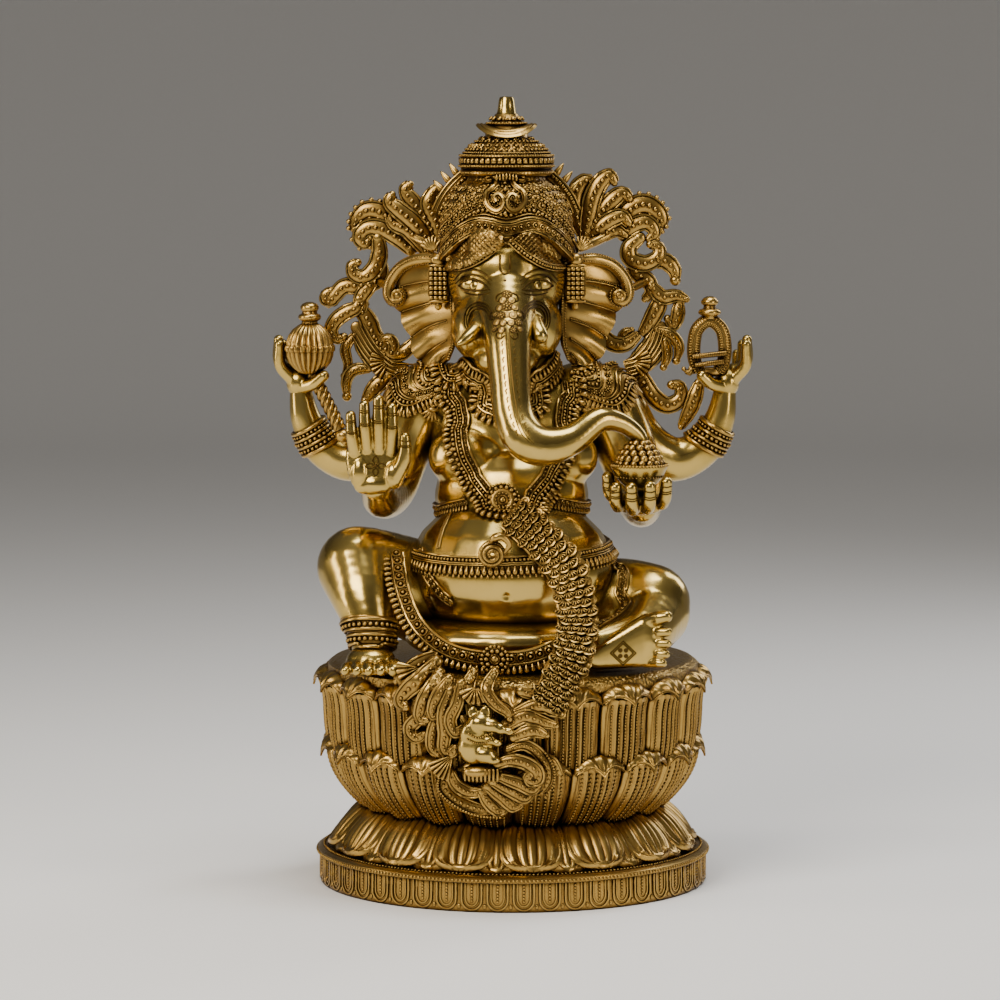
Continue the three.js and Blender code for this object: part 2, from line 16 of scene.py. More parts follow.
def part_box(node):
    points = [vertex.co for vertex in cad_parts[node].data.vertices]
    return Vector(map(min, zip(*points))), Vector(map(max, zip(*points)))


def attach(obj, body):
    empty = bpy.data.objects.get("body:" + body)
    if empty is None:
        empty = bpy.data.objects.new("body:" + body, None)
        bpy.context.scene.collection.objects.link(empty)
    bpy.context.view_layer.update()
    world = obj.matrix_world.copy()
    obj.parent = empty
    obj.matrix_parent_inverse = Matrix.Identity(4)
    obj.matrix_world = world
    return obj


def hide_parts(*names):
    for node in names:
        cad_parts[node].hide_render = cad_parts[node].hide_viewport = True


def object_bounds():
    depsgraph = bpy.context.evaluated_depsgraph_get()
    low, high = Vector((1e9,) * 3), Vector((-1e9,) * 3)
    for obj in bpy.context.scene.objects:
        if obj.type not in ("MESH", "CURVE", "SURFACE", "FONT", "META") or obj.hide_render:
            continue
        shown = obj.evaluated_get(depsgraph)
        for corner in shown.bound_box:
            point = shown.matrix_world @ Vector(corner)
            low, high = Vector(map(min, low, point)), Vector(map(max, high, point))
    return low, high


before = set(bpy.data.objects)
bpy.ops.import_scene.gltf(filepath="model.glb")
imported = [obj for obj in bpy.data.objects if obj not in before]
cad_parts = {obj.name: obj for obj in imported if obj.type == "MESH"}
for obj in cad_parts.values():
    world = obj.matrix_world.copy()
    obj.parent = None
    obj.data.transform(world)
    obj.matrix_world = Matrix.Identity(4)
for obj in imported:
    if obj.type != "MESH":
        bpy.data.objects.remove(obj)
cad_low, cad_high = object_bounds()
LAID_OUT_HEIGHT = 610
U = (cad_high.z - cad_low.z) / LAID_OUT_HEIGHT
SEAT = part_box("lotus_seat")[1].z / U
RIM_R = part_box("plinth")[1].x / U
print("one laid-out millimetre is", round(U, 6), "m, the seat is at", round(SEAT, 1), "mm")
print("the rim of the plinth is", round(RIM_R, 1), "mm from the middle")

# %% [markdown]
# ## Brass
# Brass is a copper and zinc alloy: its reflection is warm yellow, so the colour sits in the base
# colour of a fully metallic surface. Two finishes are needed. The skin was buffed on a wheel, so
# it is bright with faint cloudy tarnish. The chased ornament was dipped in a dark patina and then
# rubbed back, so crowns of beads and ribs shine and the recesses stay brown. Ambient occlusion
# over a few millimetres finds those recesses on any shape, which a painted pattern could not.
# %% One function for colours, one for nodes, one for materials
def linear(hex_colour):
    parts = [int(hex_colour[i : i + 2], 16) / 255 for i in (1, 3, 5)]
    return [c / 12.92 if c <= 0.04045 else ((c + 0.055) / 1.055) ** 2.4 for c in parts] + [1]


def add_node(tree, kind, links=(), **settings):
    node = tree.nodes.new(kind)
    for name, value in settings.items():
        if hasattr(node, name):
            setattr(node, name, value)
        else:
            node.inputs[name.replace("_", " ")].default_value = value
    for source, socket in links:
        tree.links.new(source, node.inputs[socket])
    return node


def ramp(tree, source, stops):
    node = add_node(tree, "ShaderNodeValToRGB", [(source, "Fac")])
    elements = node.color_ramp.elements
    elements[0].position, elements[0].color = stops[0][0], linear(stops[0][1])
    elements[1].position, elements[1].color = stops[-1][0], linear(stops[-1][1])
    for at, colour in stops[1:-1]:
        elements.new(at).color = linear(colour)
    return node.outputs["Color"]


def brass(name, recess_mm, colours, tarnish, rough_low, rough_high, grain_mm, grain_height_mm, punch_mm=0):
    """colours run from the deepest recess to the rubbed crown; punch_mm is the pitch of a punched ground."""
    material = bpy.data.materials.new(name)
    material.use_nodes = True
    tree = material.node_tree
    shader = tree.nodes["Principled BSDF"]
    shader.inputs["Metallic"].default_value = 1
    place = add_node(tree, "ShaderNodeTexCoord").outputs["Object"]
    recess = add_node(tree, "ShaderNodeAmbientOcclusion", samples=6, Distance=recess_mm * U, only_local=False)
    cloud = add_node(
        tree, "ShaderNodeTexNoise", [(place, "Vector")], Scale=1 / (22 * U), Detail=4, Roughness=0.6
    ).outputs["Fac"]
    grain = add_node(
        tree, "ShaderNodeTexNoise", [(place, "Vector")], Scale=1 / (grain_mm * U), Detail=3, Roughness=0.6
    ).outputs["Fac"]
    shift = add_node(tree, "ShaderNodeMapRange", [(cloud, "Value")], To_Min=-tarnish,
        To_Max=tarnish).outputs["Result"]
    openness = add_node(
        tree, "ShaderNodeMath", [(recess.outputs["AO"], 0), (shift, 1)], operation="ADD"
    ).outputs["Value"]
    tree.links.new(ramp(tree, openness, colours), shader.inputs["Base Color"])
    rough = add_node(
        tree, "ShaderNodeMapRange", [(openness, "Value")], From_Min=0.35, From_Max=1.05,
        To_Min=rough_high, To_Max=rough_low,
    ).outputs["Result"]
    tree.links.new(rough, shader.inputs["Roughness"])
    bump = add_node(
        tree, "ShaderNodeBump", [(grain, "Height")], Strength=0.5, Distance=grain_height_mm * U
    ).outputs["Normal"]
    if punch_mm:
        dots = add_node(
            tree, "ShaderNodeTexVoronoi", [(place, "Vector")], feature="SMOOTH_F1", Scale=1 / (punch_mm * U)
        ).outputs["Distance"]
        bump = add_node(
            tree, "ShaderNodeBump", [(dots, "Height"), (bump, "Normal")], invert=True, Strength=0.9,
            Distance=0.7 * punch_mm * U
        ).outputs["Normal"]
    tree.links.new(bump, shader.inputs["Normal"])
    return material


POLISHED = brass(
    "buffed_cast_brass", 10, [(0.2, "#1d1206"), (0.55, "#786029"), (0.86, "#b09348"), (1, "#c5a85c")],
    tarnish=0.12, rough_low=0.19, rough_high=0.44, grain_mm=3.5, grain_height_mm=0.05,
)
ANTIQUE = brass(
    "chased_brass_with_brown_patina", 3.6, [(0.3, "#0d0804"), (0.54, "#3a280f"), (0.8, "#846330"),
    (1, "#b7954f")],
    tarnish=0.12, rough_low=0.26, rough_high=0.6, grain_mm=1.6, grain_height_mm=0.09,
)
STIPPLED = brass(
    "brass_with_a_punched_ground", 3.6, [(0.3, "#0d0804"), (0.54, "#37260f"), (0.8, "#75592a"),
    (1, "#a08245")],
    tarnish=0.12, rough_low=0.3, rough_high=0.62, grain_mm=1.6, grain_height_mm=0.09, punch_mm=2.2,
)
# Painted shade: the raised chased lines get a dark colour that stands in for the shade inside engraved
# grooves.
PAINTED_GROOVE_SHADE = brass(
    "chased_line_with_dark_wax", 2, [(0.3, "#0a0602"), (0.6, "#21150a"), (0.85, "#3a2911"), (1, "#59431f")],
    tarnish=0.1, rough_low=0.4, rough_high=0.7, grain_mm=1, grain_height_mm=0.03,
)
STEEL = brass(
    "zinc_plated_steel", 3, [(0.3, "#3a3c3e"), (0.6, "#77797b"), (0.85, "#9a9c9e"), (1, "#b0b2b4")],
    tarnish=0.08, rough_low=0.3, rough_high=0.55, grain_mm=1.2, grain_height_mm=0.03,
)
print("materials:", POLISHED.name, ANTIQUE.name, STEEL.name)

# %% [markdown]
# ## Tools for wax work
# The founder builds the figure in wax: rolled limbs and balls are pressed together and smoothed,
# then fine ornament is laid on. The same order is used here. Spheres are piled up, a voxel Remesh
# modifier melts them into one skin, and a Smooth modifier thumbs the joints. Ornament is laid on
# that skin by finding the nearest point of it.
# %% Arrays in and out of Blender
def alone(o):
    bpy.ops.object.select_all(action="DESELECT")
    o.select_set(True)
    bpy.context.view_layer.objects.active = o
    return o


def arrays(o):
    """The points and faces of an object, which is then removed."""
    points = np.empty(len(o.data.vertices) * 3)
    o.data.vertices.foreach_get("co", points)
    faces = [tuple(p.vertices) for p in o.data.polygons]
    bpy.data.objects.remove(o)
    return points.reshape(-1, 3), faces


def unit_ball(segments, rings):
    bpy.ops.object.select_all(action="DESELECT")
    bpy.ops.mesh.primitive_uv_sphere_add(segments=segments, ring_count=rings, radius=1)
    return arrays(bpy.context.object)


BALL = unit_ball(20, 12)
BEAD = unit_ball(7, 4)
GRAIN = unit_ball(6, 3)


class Pile:
    """Shapes gathered for one mesh."""

    def __init__(self):
        self.points, self.faces, self.count = [], [], 0

    def add(self, shape, scale=1, move=(0, 0, 0), axes=None):
        points, faces = shape
        placed = points * np.asarray(scale)
        if axes is not None:
            placed = placed @ np.asarray(axes)
        placed = placed + np.asarray(move)
        self.points.append(placed)
        self.faces += [tuple(i + self.count for i in f) for f in faces]
        self.count += len(placed)
        return self

    def ball(self, x, y, z, rx, ry=None, rz=None):
        return self.add(BALL, (rx, ry or rx, rz or rx), (x, y, z))

    def roll(self, stations, every=0.3):
        """A tapered roll of wax through [x, y, z, r]."""
        s = smooth_line(np.array(stations, float), 12)
        last = None
        for p in s:
            if last is None or np.linalg.norm(p[:3] - last[:3]) > every * p[3]:
                self.add(BALL, (p[3],) * 3, p[:3])
                last = p
        return self

    def mesh(self, name):
        data = bpy.data.meshes.new(name)
        data.from_pydata(np.concatenate(self.points).tolist(), [], self.faces)
        o = bpy.data.objects.new(name, data)
        bpy.context.scene.collection.objects.link(o)
        return alone(o)


def smooth_line(points, per):
    """A Catmull-Rom line through the points, with per steps to a span."""
    p = np.vstack([2 * points[0] - points[1], points, 2 * points[-1] - points[-2]])
    out = []
    for i in range(1, len(p) - 2):
        for k in range(per):
            t = k / per
            a, b, c, d = p[i - 1 : i + 3]
            square, cube = 2 * a - 5 * b + 4 * c - d, 3 * b - a - 3 * c + d
            out.append(0.5 * (2 * b + (c - a) * t + square * t**2 + cube * t**3))
    out.append(points[-1])
    return np.array(out)


# %% Melting, finishing and showing a piece
def apply(o, kind, **settings):
    modifier = o.modifiers.new(kind.title(), kind)
    for key, value in settings.items():
        setattr(modifier, key, value)
    bpy.ops.object.modifier_apply(modifier=modifier.name)


def melt(pile, name, voxel, thumbs=6):
    o = pile.mesh(name)
    apply(o, "REMESH", mode="VOXEL", voxel_size=voxel, use_smooth_shade=True)
    apply(o, "SMOOTH", factor=0.6, iterations=thumbs)
    return o


def recalculated(o):
    alone(o)
    bpy.ops.object.mode_set(mode="EDIT")
    bpy.ops.mesh.select_all(action="SELECT")
    bpy.ops.mesh.remove_doubles(threshold=0.01)
    bpy.ops.mesh.normals_make_consistent(inside=False)
    bpy.ops.object.mode_set(mode="OBJECT")
    return o


def show(o, material, *nodes, angle=60):
    """Scales a finished piece to metres, gives it its finish and its body, and hides the CAD nodes it stands
    for.
    """
    alone(o)
    o.scale = (U, U, U)
    bpy.ops.object.transform_apply(location=True, rotation=True, scale=True)
    bpy.ops.object.shade_smooth_by_angle(angle=math.radians(angle))
    o.data.materials.clear()
    o.data.materials.append(material)
    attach(o, "root")
    real = [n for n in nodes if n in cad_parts]
    if real:
        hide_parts(*real)
    print(o.name, len(o.data.polygons), "faces")
    return o


def cut_below(o, z):
    """Saws a piece off flat at a height and closes the cut."""
    alone(o)
    bpy.ops.object.mode_set(mode="EDIT")
    bpy.ops.mesh.select_all(action="SELECT")
    bpy.ops.mesh.bisect(plane_co=(0, 0, z), plane_no=(0, 0, 1), clear_inner=True, use_fill=True)
    bpy.ops.object.mode_set(mode="OBJECT")
    return o


# %% Feeling for the skin under an ornament
class Skin:
    """The surfaces that ornament is laid on."""

    def __init__(self, *objects):
        points, faces, count = [], [], 0
        for o in objects:
            points += [v.co.copy() for v in o.data.vertices]
            faces += [[i + count for i in p.vertices] for p in o.data.polygons]
            count += len(o.data.vertices)
        self.tree = BVHTree.FromPolygons(points, faces)

    def nearest(self, p):
        at, normal, _, _ = self.tree.find_nearest(Vector(p))
        return np.array(at), np.array(normal)

    def front(self, x, z):
        at, normal, _, _ = self.tree.ray_cast(Vector((x, -400, z)), Vector((0, 1, 0)))
        return (None, None) if at is None else (np.array(at), np.array(normal))


def unit(v):
    v = np.asarray(v, float)
    return v / np.maximum(np.linalg.norm(v, axis=-1, keepdims=True), 1e-9)


class Trail:
    """Evenly spaced places along a line on a skin, each with a forward, a side and an outward."""

    def __init__(self, points, spacing, skin=None, lift=0, out=(0, -1, 0), closed=False, front=False):
        raw = np.array(points, float)
        if closed:
            raw = np.vstack([raw, raw[:1]])
        line = smooth_line(raw, 24)
        lengths = np.r_[0, np.cumsum(np.linalg.norm(np.diff(line, axis=0), axis=1))]
        count = max(2, int(round(lengths[-1] / spacing)) + 1)
        even = np.linspace(0, lengths[-1], count)
        place = np.stack([np.interp(even, lengths, line[:, i]) for i in range(3)], 1)
        normal = np.tile(unit(out),
            (count, 1)) if not callable(out) else np.array([unit(out(p)) for p in place])
        if skin is not None:
            for i, p in enumerate(place):
                at, n = skin.front(p[0], p[2]) if front else (None, None)
                if at is None:
                    at, n = skin.nearest(p)
                place[i], normal[i] = at, n
            for _ in range(2):
                normal[1:-1] = unit(normal[:-2] + 2 * normal[1:-1] + normal[2:])
        self.forward = unit(np.gradient(place, axis=0))
        self.side = unit(np.cross(normal, self.forward))
        self.out = unit(np.cross(self.forward, self.side))
        self.place = place + self.out * lift
        self.closed = closed
        self.count = count

    def beads(self, pile, shape, size, every=1, start=0):
        """One shape at every few places: its x lies forward, its y to the side and its z outward."""
        for i in range(start, self.count - (1 if self.closed else 0), every):
            pile.add(shape, size, self.place[i], [self.forward[i], self.side[i], self.out[i]])
        return pile

    def band(self, pile, section, taper=None):
        """A strap with the section [across, up], closed at its ends."""
        sec = np.array(section, float)
        size = np.ones(self.count) if taper is None else np.interp(
            np.linspace(0, 1, self.count), np.linspace(0, 1, len(taper)), taper)
        rings = [
            self.place[i] + (self.side[i] * sec[:, :1] + self.out[i] * sec[:,
            1:]) * size[i] for i in range(self.count)
        ]
        m = len(sec)
        n = self.count
        faces = []
        for i in range(n - 1):
            for k in range(m):
                a, b = i * m + k, i * m + (k + 1) % m
                faces.append((a, b, b + m, a + m))
        faces += [tuple(range(m))[::-1], tuple(range((n - 1) * m, n * m))]
        pile.add((np.vstack(rings), faces))
        return pile


def round_section(r, sides=8):
    return [(r * math.cos(a), r * math.sin(a)) for a in np.linspace(0, 2 * math.pi, sides,
        endpoint=False)][::-1]


print("tools ready")

# %% [markdown]
# ## The body
# A heavy round belly, a soft chest and sloping shoulders. Overlapping balls of wax give those
# masses, and the Remesh modifier melts them into one skin with no seams to hide. The seat side
# is sawn flat, as a casting's foot is, and the navel is pressed in with a moved patch of points.
# %% Torso
wax = Pile()
for x, y, z, rx, ry, rz in [
    (-1, -38, 247, 80, 72, 60), (0, -8, 212, 90, 60, 46), (-1, -22, 302, 60, 50, 48),
    (-1, -8, 350, 66, 45, 50),
    (-52, -2, 378, 32, 30, 27), (52, -2, 378, 32, 30, 27), (-3, -14, 402, 38, 38, 32),
    (0, -4, 274, 60, 37, 40), (-1, -5, 326, 50, 41, 42), (-2, -6, 382, 42, 38, 36),
    (-33, -33, 334, 33, 27, 26), (33, -33, 334, 33, 27, 26),
]:
    wax.ball(x, y, z, rx, ry, rz)
torso = cut_below(melt(wax, "Torso_skin", 2.0, 9), SEAT + 0.6)
NAVEL = Vector((-5.5, -109, 233.6))
for v in torso.data.vertices:
    d = (v.co - NAVEL).length
    if d < 14:
        v.co.y += 4.2 * math.exp(-((d / 2.4) ** 2)) - 0.35 * math.exp(-(((d - 4.2) / 1.5) ** 2))
for x in (-50, 48):
    for v in torso.data.vertices:
        d = (v.co - Vector((x, -55, 341))).length
        if d < 10:
            v.co.y -= 2.2 * math.exp(-((d / 2.6) ** 2))
print("torso", len(torso.data.polygons))

# %% [markdown]
# ## Head and trunk
# The head is a broad skull with full cheeks, and the trunk grows out of the brow, swings to the
# viewer's right and reaches the sweets. A tapered roll of balls along a smooth line makes the
# trunk, because its thickness changes all the way down.
# %% Head
TRUNK = [
    (-5, -50, 460, 24), (-4.5, -66, 442, 21.5), (-4, -84, 424, 18.2), (-2.5, -98, 398, 16),
    (0, -110, 372, 15.4),
    (9, -118, 355, 16.6), (24, -121, 349, 15), (44, -119, 354, 11.8), (64, -112, 368, 9.8),
    (80, -106, 366, 8),
    (92, -102, 358, 6.6), (97, -101, 351, 5.6),
]
wax = Pile()
for x, y, z, rx, ry, rz in [
    (-5, -16, 470, 47, 47, 43), (-5, -34, 441, 40, 39, 32), (-31, -33, 434, 17, 24, 25),
    (21, -33, 434, 17, 24, 25),
    (-5, -42, 478, 33, 25, 27), (-5, -40, 410, 26, 26, 16), (-5, -46, 462, 30, 24, 24),
    (-4.6, -55, 447, 22, 20, 22),
]:
    wax.ball(x, y, z, rx, ry, rz)
wax.roll(TRUNK, 0.22)
EYES = [(-30.5, 467.5, -1), (19.5, 467.5, 1)]
for x, z, side in EYES:
    wax.ball(x, -50, z, 10.5, 8, 6.4)
    wax.roll([(-5 + side * 17, -56, 444, 8.5), (-5 + side * 20, -64, 438, 8.5),
        (-5 + side * 22, -70, 433, 8)], 0.3)
head = melt(wax, "Head_skin", 1.4, 8)
print("head", len(head.data.polygons))

# %% [markdown]
# ## Arms and legs
# Four arms: the front pair blesses and carries sweets, and the rear pair lifts a mace and a noose.
# One leg is drawn up and the other is folded with its sole to the front. Each is a tapered roll.
# %% Limbs
def limb(name, *rolls, voxel=1.7, balls=(), saw=False):
    wax = Pile()
    for r in rolls:
        wax.roll(r, 0.22)
    for b in balls:
        wax.ball(*b)
    o = melt(wax, name, voxel, 8)
    return cut_below(o, SEAT + 0.6) if saw else o


def mirrored(rolls, axis=0.0):
    return [[(2 * axis - s[0], *s[1:]) for s in r] for r in rolls]


REAR_ARM = [[(-76, 12, 374, 25), (-98, 18, 342, 21.5), (-126, 22, 327, 17.5), (-150, 22, 338, 15),
    (-162, 19, 360, 12),
             (-166, 17, 384, 8.6)]]
arm_front_l = limb("Blessing_arm", [(-70, -2, 377, 27), (-83, -6, 345, 23), (-94, -18, 310, 20),
    (-100, -52, 304, 16),
                                    (-103, -84, 316, 12.5)])
arm_front_r = limb("Giving_arm", [(70, -2, 377, 27), (87, -6, 340, 24), (97, -22, 306, 20),
    (98, -58, 297, 15.5),
                                  (98, -84, 300, 12)])
arm_rear_l = limb("Mace_arm", *REAR_ARM)
arm_rear_r = limb("Noose_arm", *mirrored(REAR_ARM))
leg_raised = limb("Raised_leg", [(-40, -10, 214, 42), (-90, -34, 236, 38), (-117, -48, 249, 33)],
                  [(-119, -50, 250, 32), (-114, -70, 230, 25), (-108, -83, 208, 18.5), (-107, -85, 196, 17)],
                  voxel=2.0, saw=True)
leg_folded = limb("Folded_leg", [(36, -12, 212, 42), (84, -30, 219, 36), (108, -36, 220, 31)],
                  [(108, -40, 214, 29), (94, -80, 200, 22), (66, -94, 194, 17)], voxel=2.0, saw=True)

# %% [markdown]
# ## Hands and feet
# Fingers and toes are short rolls pressed onto a palm or a sole. A finer voxel keeps the gaps
# between them open.
# %% Hands
def hand(name, palm_balls, fingers, voxel=0.85):
    wax = Pile()
    for b in palm_balls:
        wax.ball(*b)
    for f in fingers:
        wax.roll(f, 0.25)
    return melt(wax, name, voxel, 4)


BLESSING = [
    [(-119.6, -92, 342, 4.9), (-122, -95, 356, 4.6), (-122.8, -94, 370, 4)],
    [(-110.6, -92, 345, 5), (-112, -96, 362, 4.7), (-112.4, -95, 378, 4.1)],
    [(-101.2, -92, 345, 5), (-101.6, -96, 364, 4.8), (-101.8, -95, 382, 4.2)],
    [(-92, -92, 343, 4.9), (-91.4, -96, 360, 4.6), (-91.6, -95, 376, 4.1)],
    [(-90, -94, 322, 7), (-83.6, -97, 334, 5.8), (-81.4, -98, 345, 4.9), (-81.6, -98, 354, 4)],
]
hand_blessing = hand("Blessing_hand", [
    *[(-106 + 4 * i * w, -91, 341 - 4 * j, 9, 4.4 + 0.4 * j, 7) for i in range(-3, 4) for j,
    w in enumerate((1, 1, 0.98, 0.92, 0.82, 0.68, 0.5))],
    (-104.6, -90, 318, 15, 9, 9), (-90, -94, 325, 8, 7, 11), (-116, -93, 327, 7, 6, 12),
], BLESSING, 0.8)
GIVING = [
    [(79, -108, 303, 5.4), (77, -118, 308, 5.2), (77, -122, 318, 4.5)],
    [(90, -112, 301, 5.6), (89, -122, 306, 5.4), (88.6, -126, 318, 4.6)],
    [(101, -112, 302, 5.6), (102, -122, 307, 5.4), (102.4, -126, 319, 4.6)],
    [(112, -108, 305, 5.3), (114, -117, 311, 5.1), (115, -121, 322, 4.4)],
    [(84, -94, 304, 6.5), (74, -99, 312, 5.8), (71.5, -102, 324, 4.8)],
]
hand_bowl = hand("Giving_hand", [(96, -100, 304, 20, 13, 9), (96, -88, 302, 15, 10, 10)], GIVING)
REAR_FINGERS = [
    [(-172, 13, 391, 5.4), (-181, 10, 402, 4.9), (-181.4, 7, 418, 4)],
    [(-171, 18, 393, 5.6), (-182, 19, 404, 5), (-182.6, 18, 421, 4.1)],
    [(-170, 24, 391, 5.4), (-179, 27, 401, 4.9), (-179.6, 28, 417, 4)],
    [(-168, 28, 387, 5), (-175, 33, 396, 4.5), (-175.6, 35, 409, 3.8)],
    [(-163, 12, 385, 6), (-154, 4, 388, 5.2), (-147, 0, 394, 4.6)],
]
REAR_PALM = [(-167, 17, 388, 10, 11, 12), (-172, 20, 394, 6, 11, 9)]
hand_rear_l = hand("Mace_hand", REAR_PALM, REAR_FINGERS)
hand_rear_r = hand("Noose_hand", [(-b[0], *b[1:]) for b in REAR_PALM], mirrored(REAR_FINGERS))

# %% Feet
foot_raised = cut_below(hand("Raised_foot", [
    (-107.5, -78, 189, 16, 18, 17), (-108, -96, 184, 19, 18, 12), (-108, -106, 180, 21, 10, 7.5),
], [
    [(-125, -104, 180.5, 4.4), (-126, -113, 180.6, 4.2), (-126.5, -119, 179, 3.8)],
    [(-117, -106, 181, 4.6), (-117.4, -116, 181.4, 4.4), (-117.6, -122, 179.4, 3.9)],
    [(-108.5, -107, 181.4, 4.8), (-108.6, -118, 182, 4.5), (-108.6, -124, 179.6, 4)],
    [(-100, -108, 181.4, 4.9), (-99.6, -119, 182, 4.7), (-99.4, -125, 179.8, 4.2)],
    [(-91, -106, 182, 6), (-89.8, -118, 182.4, 6), (-89.6, -125, 180.4, 5.2)],
], 1.0), SEAT + 0.6)
foot_folded = cut_below(hand("Folded_foot", [
    *[(64 + 37 * t, -104, 187.5 + 13 * t, 12, 11, 9.5 + 11 * t) for t in np.linspace(0, 1, 12)],
], [
    [(101, -106, 214, 6), (109, -111, 218, 5.6), (115.5, -113, 219.5, 4.8)],
    [(103, -107, 204.5, 4.4), (111, -112, 207.5, 4.2), (116.5, -114, 208, 3.6)],
    [(104, -107, 197, 4.1), (111, -112, 199, 3.9), (116.5, -114, 199.2, 3.3)],
    [(103, -107, 190, 3.8), (110, -112, 191, 3.6), (115.5, -114, 191, 3.1)],
    [(101, -107, 183.5, 3.6), (108, -112, 184, 3.4), (113.5, -114, 184, 2.9)],
], 0.9), SEAT + 0.6)
for v in foot_folded.data.vertices:
    if v.co.y < -109:
        share = min(1, max(0, (108 - v.co.x) / 10))
        v.co.y += share * (-109 - 3.2 * math.tanh((-109 - v.co.y) / 4) - v.co.y)
print("hands and feet ready")

# %% [markdown]
# ## Ears
# Each ear is a fan. Folds sweep from its root down to a scalloped edge, and its top edge rolls over
# into a thick beaded rim that ends in a curl. A grid is bent onto a root line and an edge line,
# and a Solidify modifier gives it metal.
# %% Ears
EAR_ROOT = np.array([(-44, -20, 480), (-44, -26, 462), (-43, -28, 440), (-45, -26, 420), (-50, -22, 408)],
    float)
EAR_EDGE = np.array([
    (-58, -8, 484), (-74, -2, 482), (-86, 2, 474), (-91, 4, 462), (-90, 4, 451), (-85, 3, 441), (-80, 2, 430),
    (-76, 0, 418), (-72, -3, 408), (-64, -8, 403), (-54, -16, 404),
], float)
EAR_RIM = [(-50, -22, 480), (-60, -18, 485), (-74, -12, 484.5), (-86, -7, 479), (-94, -3, 469),
    (-96.5, -2, 459), (-93.5, -3, 452.5),
           (-88, -5, 452.5), (-86, -7, 457.5), (-89, -8, 460)]


def between(line, t):
    k = np.clip(t, 0, 1) * (len(line) - 1)
    return np.stack([np.interp(k, np.arange(len(line)), line[:, i]) for i in range(3)], -1)


def grid(name, nu, nv, place, thick=0, offset=0):
    """A grid with every point moved to place(u, v), u and v from 0 to 1, and given a thickness."""
    bpy.ops.object.select_all(action="DESELECT")
    bpy.ops.mesh.primitive_grid_add(x_subdivisions=nu, y_subdivisions=nv, size=2)
    o = bpy.context.object
    o.name = name
    co = np.array([v.co for v in o.data.vertices])
    moved = place((co[:, 0] + 1) / 2, (co[:, 1] + 1) / 2)
    o.data.vertices.foreach_set("co", np.ascontiguousarray(moved, dtype=np.float32).ravel())
    o.data.update()
    if thick:
        apply(alone(o), "SOLIDIFY", thickness=thick, offset=offset)
    return o


def mirror_ear(p, side):
    p = np.array(p, float)
    if side > 0:
        p[..., 0] = -7 - p[..., 0]
    return p


FOLDS = 4.0


def ear_place(side):
    edge_line = smooth_line(EAR_EDGE, 6)

    def place(u, v):
        p = between(EAR_ROOT, v) * (1 - u)[:, None] + between(edge_line, v) * u[:, None]
        sweep = np.clip((v - 0.30 + 0.16 * (1 - u)) / 0.70, 0, 1)
        fold = np.abs(np.sin(FOLDS * np.pi * sweep)) * (sweep > 0)
        p[:, 1] += 7 * np.sin(np.pi * u) * np.sin(np.pi * v) - 5.2 * fold * np.sin(np.pi * np.clip(u, 0,
            1) * 0.62) ** 1.2
        p[:, 0] -= 3.0 * fold * u**5
        p[:, 2] -= 1.2 * fold * u**5
        return mirror_ear(p, side)

    return place


ears = []
for side, name in ((-1, "Ear_l_fan"), (1, "Ear_r_fan")):
    ears.append(recalculated(grid(name, 44, 150, ear_place(side), 3.2)))
ear_l, ear_r = ears
print("the skins are ready to be dressed")

# %% [markdown]
# ## The lotus pedestal
# A turned plinth carries drooping petals, and a bowl of two petal rows stands on it. One petal, one
# lip and one cartouche are modelled and then copied round the centre line. Ribs are pressed into
# a petal by moving the points of a bent grid, so they follow its outline as chased lines do.
# %% Turning and copying round
def turned(name, profile, steps=160, centre=(0, 0)):
    """A profile [r, z] turned about an upright line, as on a lathe."""
    line = np.array(profile, float)

    def place(u, v):
        k = v * (len(line) - 1)
        r, z = (np.interp(k, np.arange(len(line)), line[:, i]) for i in (0, 1))
        a = 2 * np.pi * u
        return np.stack([centre[0] + r * np.cos(a), centre[1] + r * np.sin(a), z], -1)

    return recalculated(grid(name, steps, len(line) - 1, place))


def compass(degrees):
    """Across, outward and up for a copy standing at an angle from the front towards the viewer's right."""
    a = math.radians(degrees)
    return np.array([(-math.cos(a), -math.sin(a), 0), (math.sin(a), -math.cos(a), 0), (0, 0, 1)])


def circle_of(pile, shape, count, first=0.0, size=1, r=0, z=0):
    for i in range(count):
        axes = compass(first + 360 * i / count)
        pile.add(shape, size, axes[1] * r + axes[2] * z, axes)
    return pile


def ridge(x, at, wide):
    return np.exp(-(((x - at) / wide) ** 2))


def bent(line, v):
    """Points along a line [a, b], v from 0 to 1 by length, and the outward normal there."""
    s = smooth_line(np.array(line, float), 12)
    d = np.r_[0, np.cumsum(np.linalg.norm(np.diff(s, axis=0), axis=1))]
    k = np.clip(v, 0, 1) * d[-1]
    p = np.stack([np.interp(k, d, s[:, i]) for i in (0, 1)], -1)
    t = np.gradient(s, axis=0)
    n = unit(np.stack([t[:, 1], -t[:, 0]], -1))
    return p, np.stack([np.interp(k, d, n[:, i]) for i in (0, 1)], -1)


# %% Plinth and its cartouches
plinth = turned("Plinth", [
    (0, 14), (140, 14), (145, 0), (150.2, 0), (150.6, 1.2), (150.2, 22.2), (152.6, 22.8), (153, 24),
    (152.6, 26), (150, 27.6),
    (147, 28), (141, 27), (134, 29), (118, 38), (108, 47), (104, 53), (0, 53),
])
show(plinth, ANTIQUE, "plinth", angle=35)
RUN = [(-1, 22), (-1, 9), (-0.82, 5.2), (-0.44, 2.6), (0, 1.9), (0.44, 2.6), (0.82, 5.2), (1, 9), (1, 22)]
cartouche = Pile()
Trail([(7.6 * x, 0, z) for x, z in RUN], 1.6, out=(0, 1, 0)).band(cartouche, round_section(1.1, 6))
Trail([(4.9 * x, 0, 3.2 + 0.86 * z) for x, z in RUN], 1.6, out=(0, 1, 0)).band(cartouche,
    round_section(0.8, 6))
for k in range(6):
    cartouche.add(BEAD, (1.15, 0.9, 1.15), (0, 0.1, 8.2 + 2.4 * k))
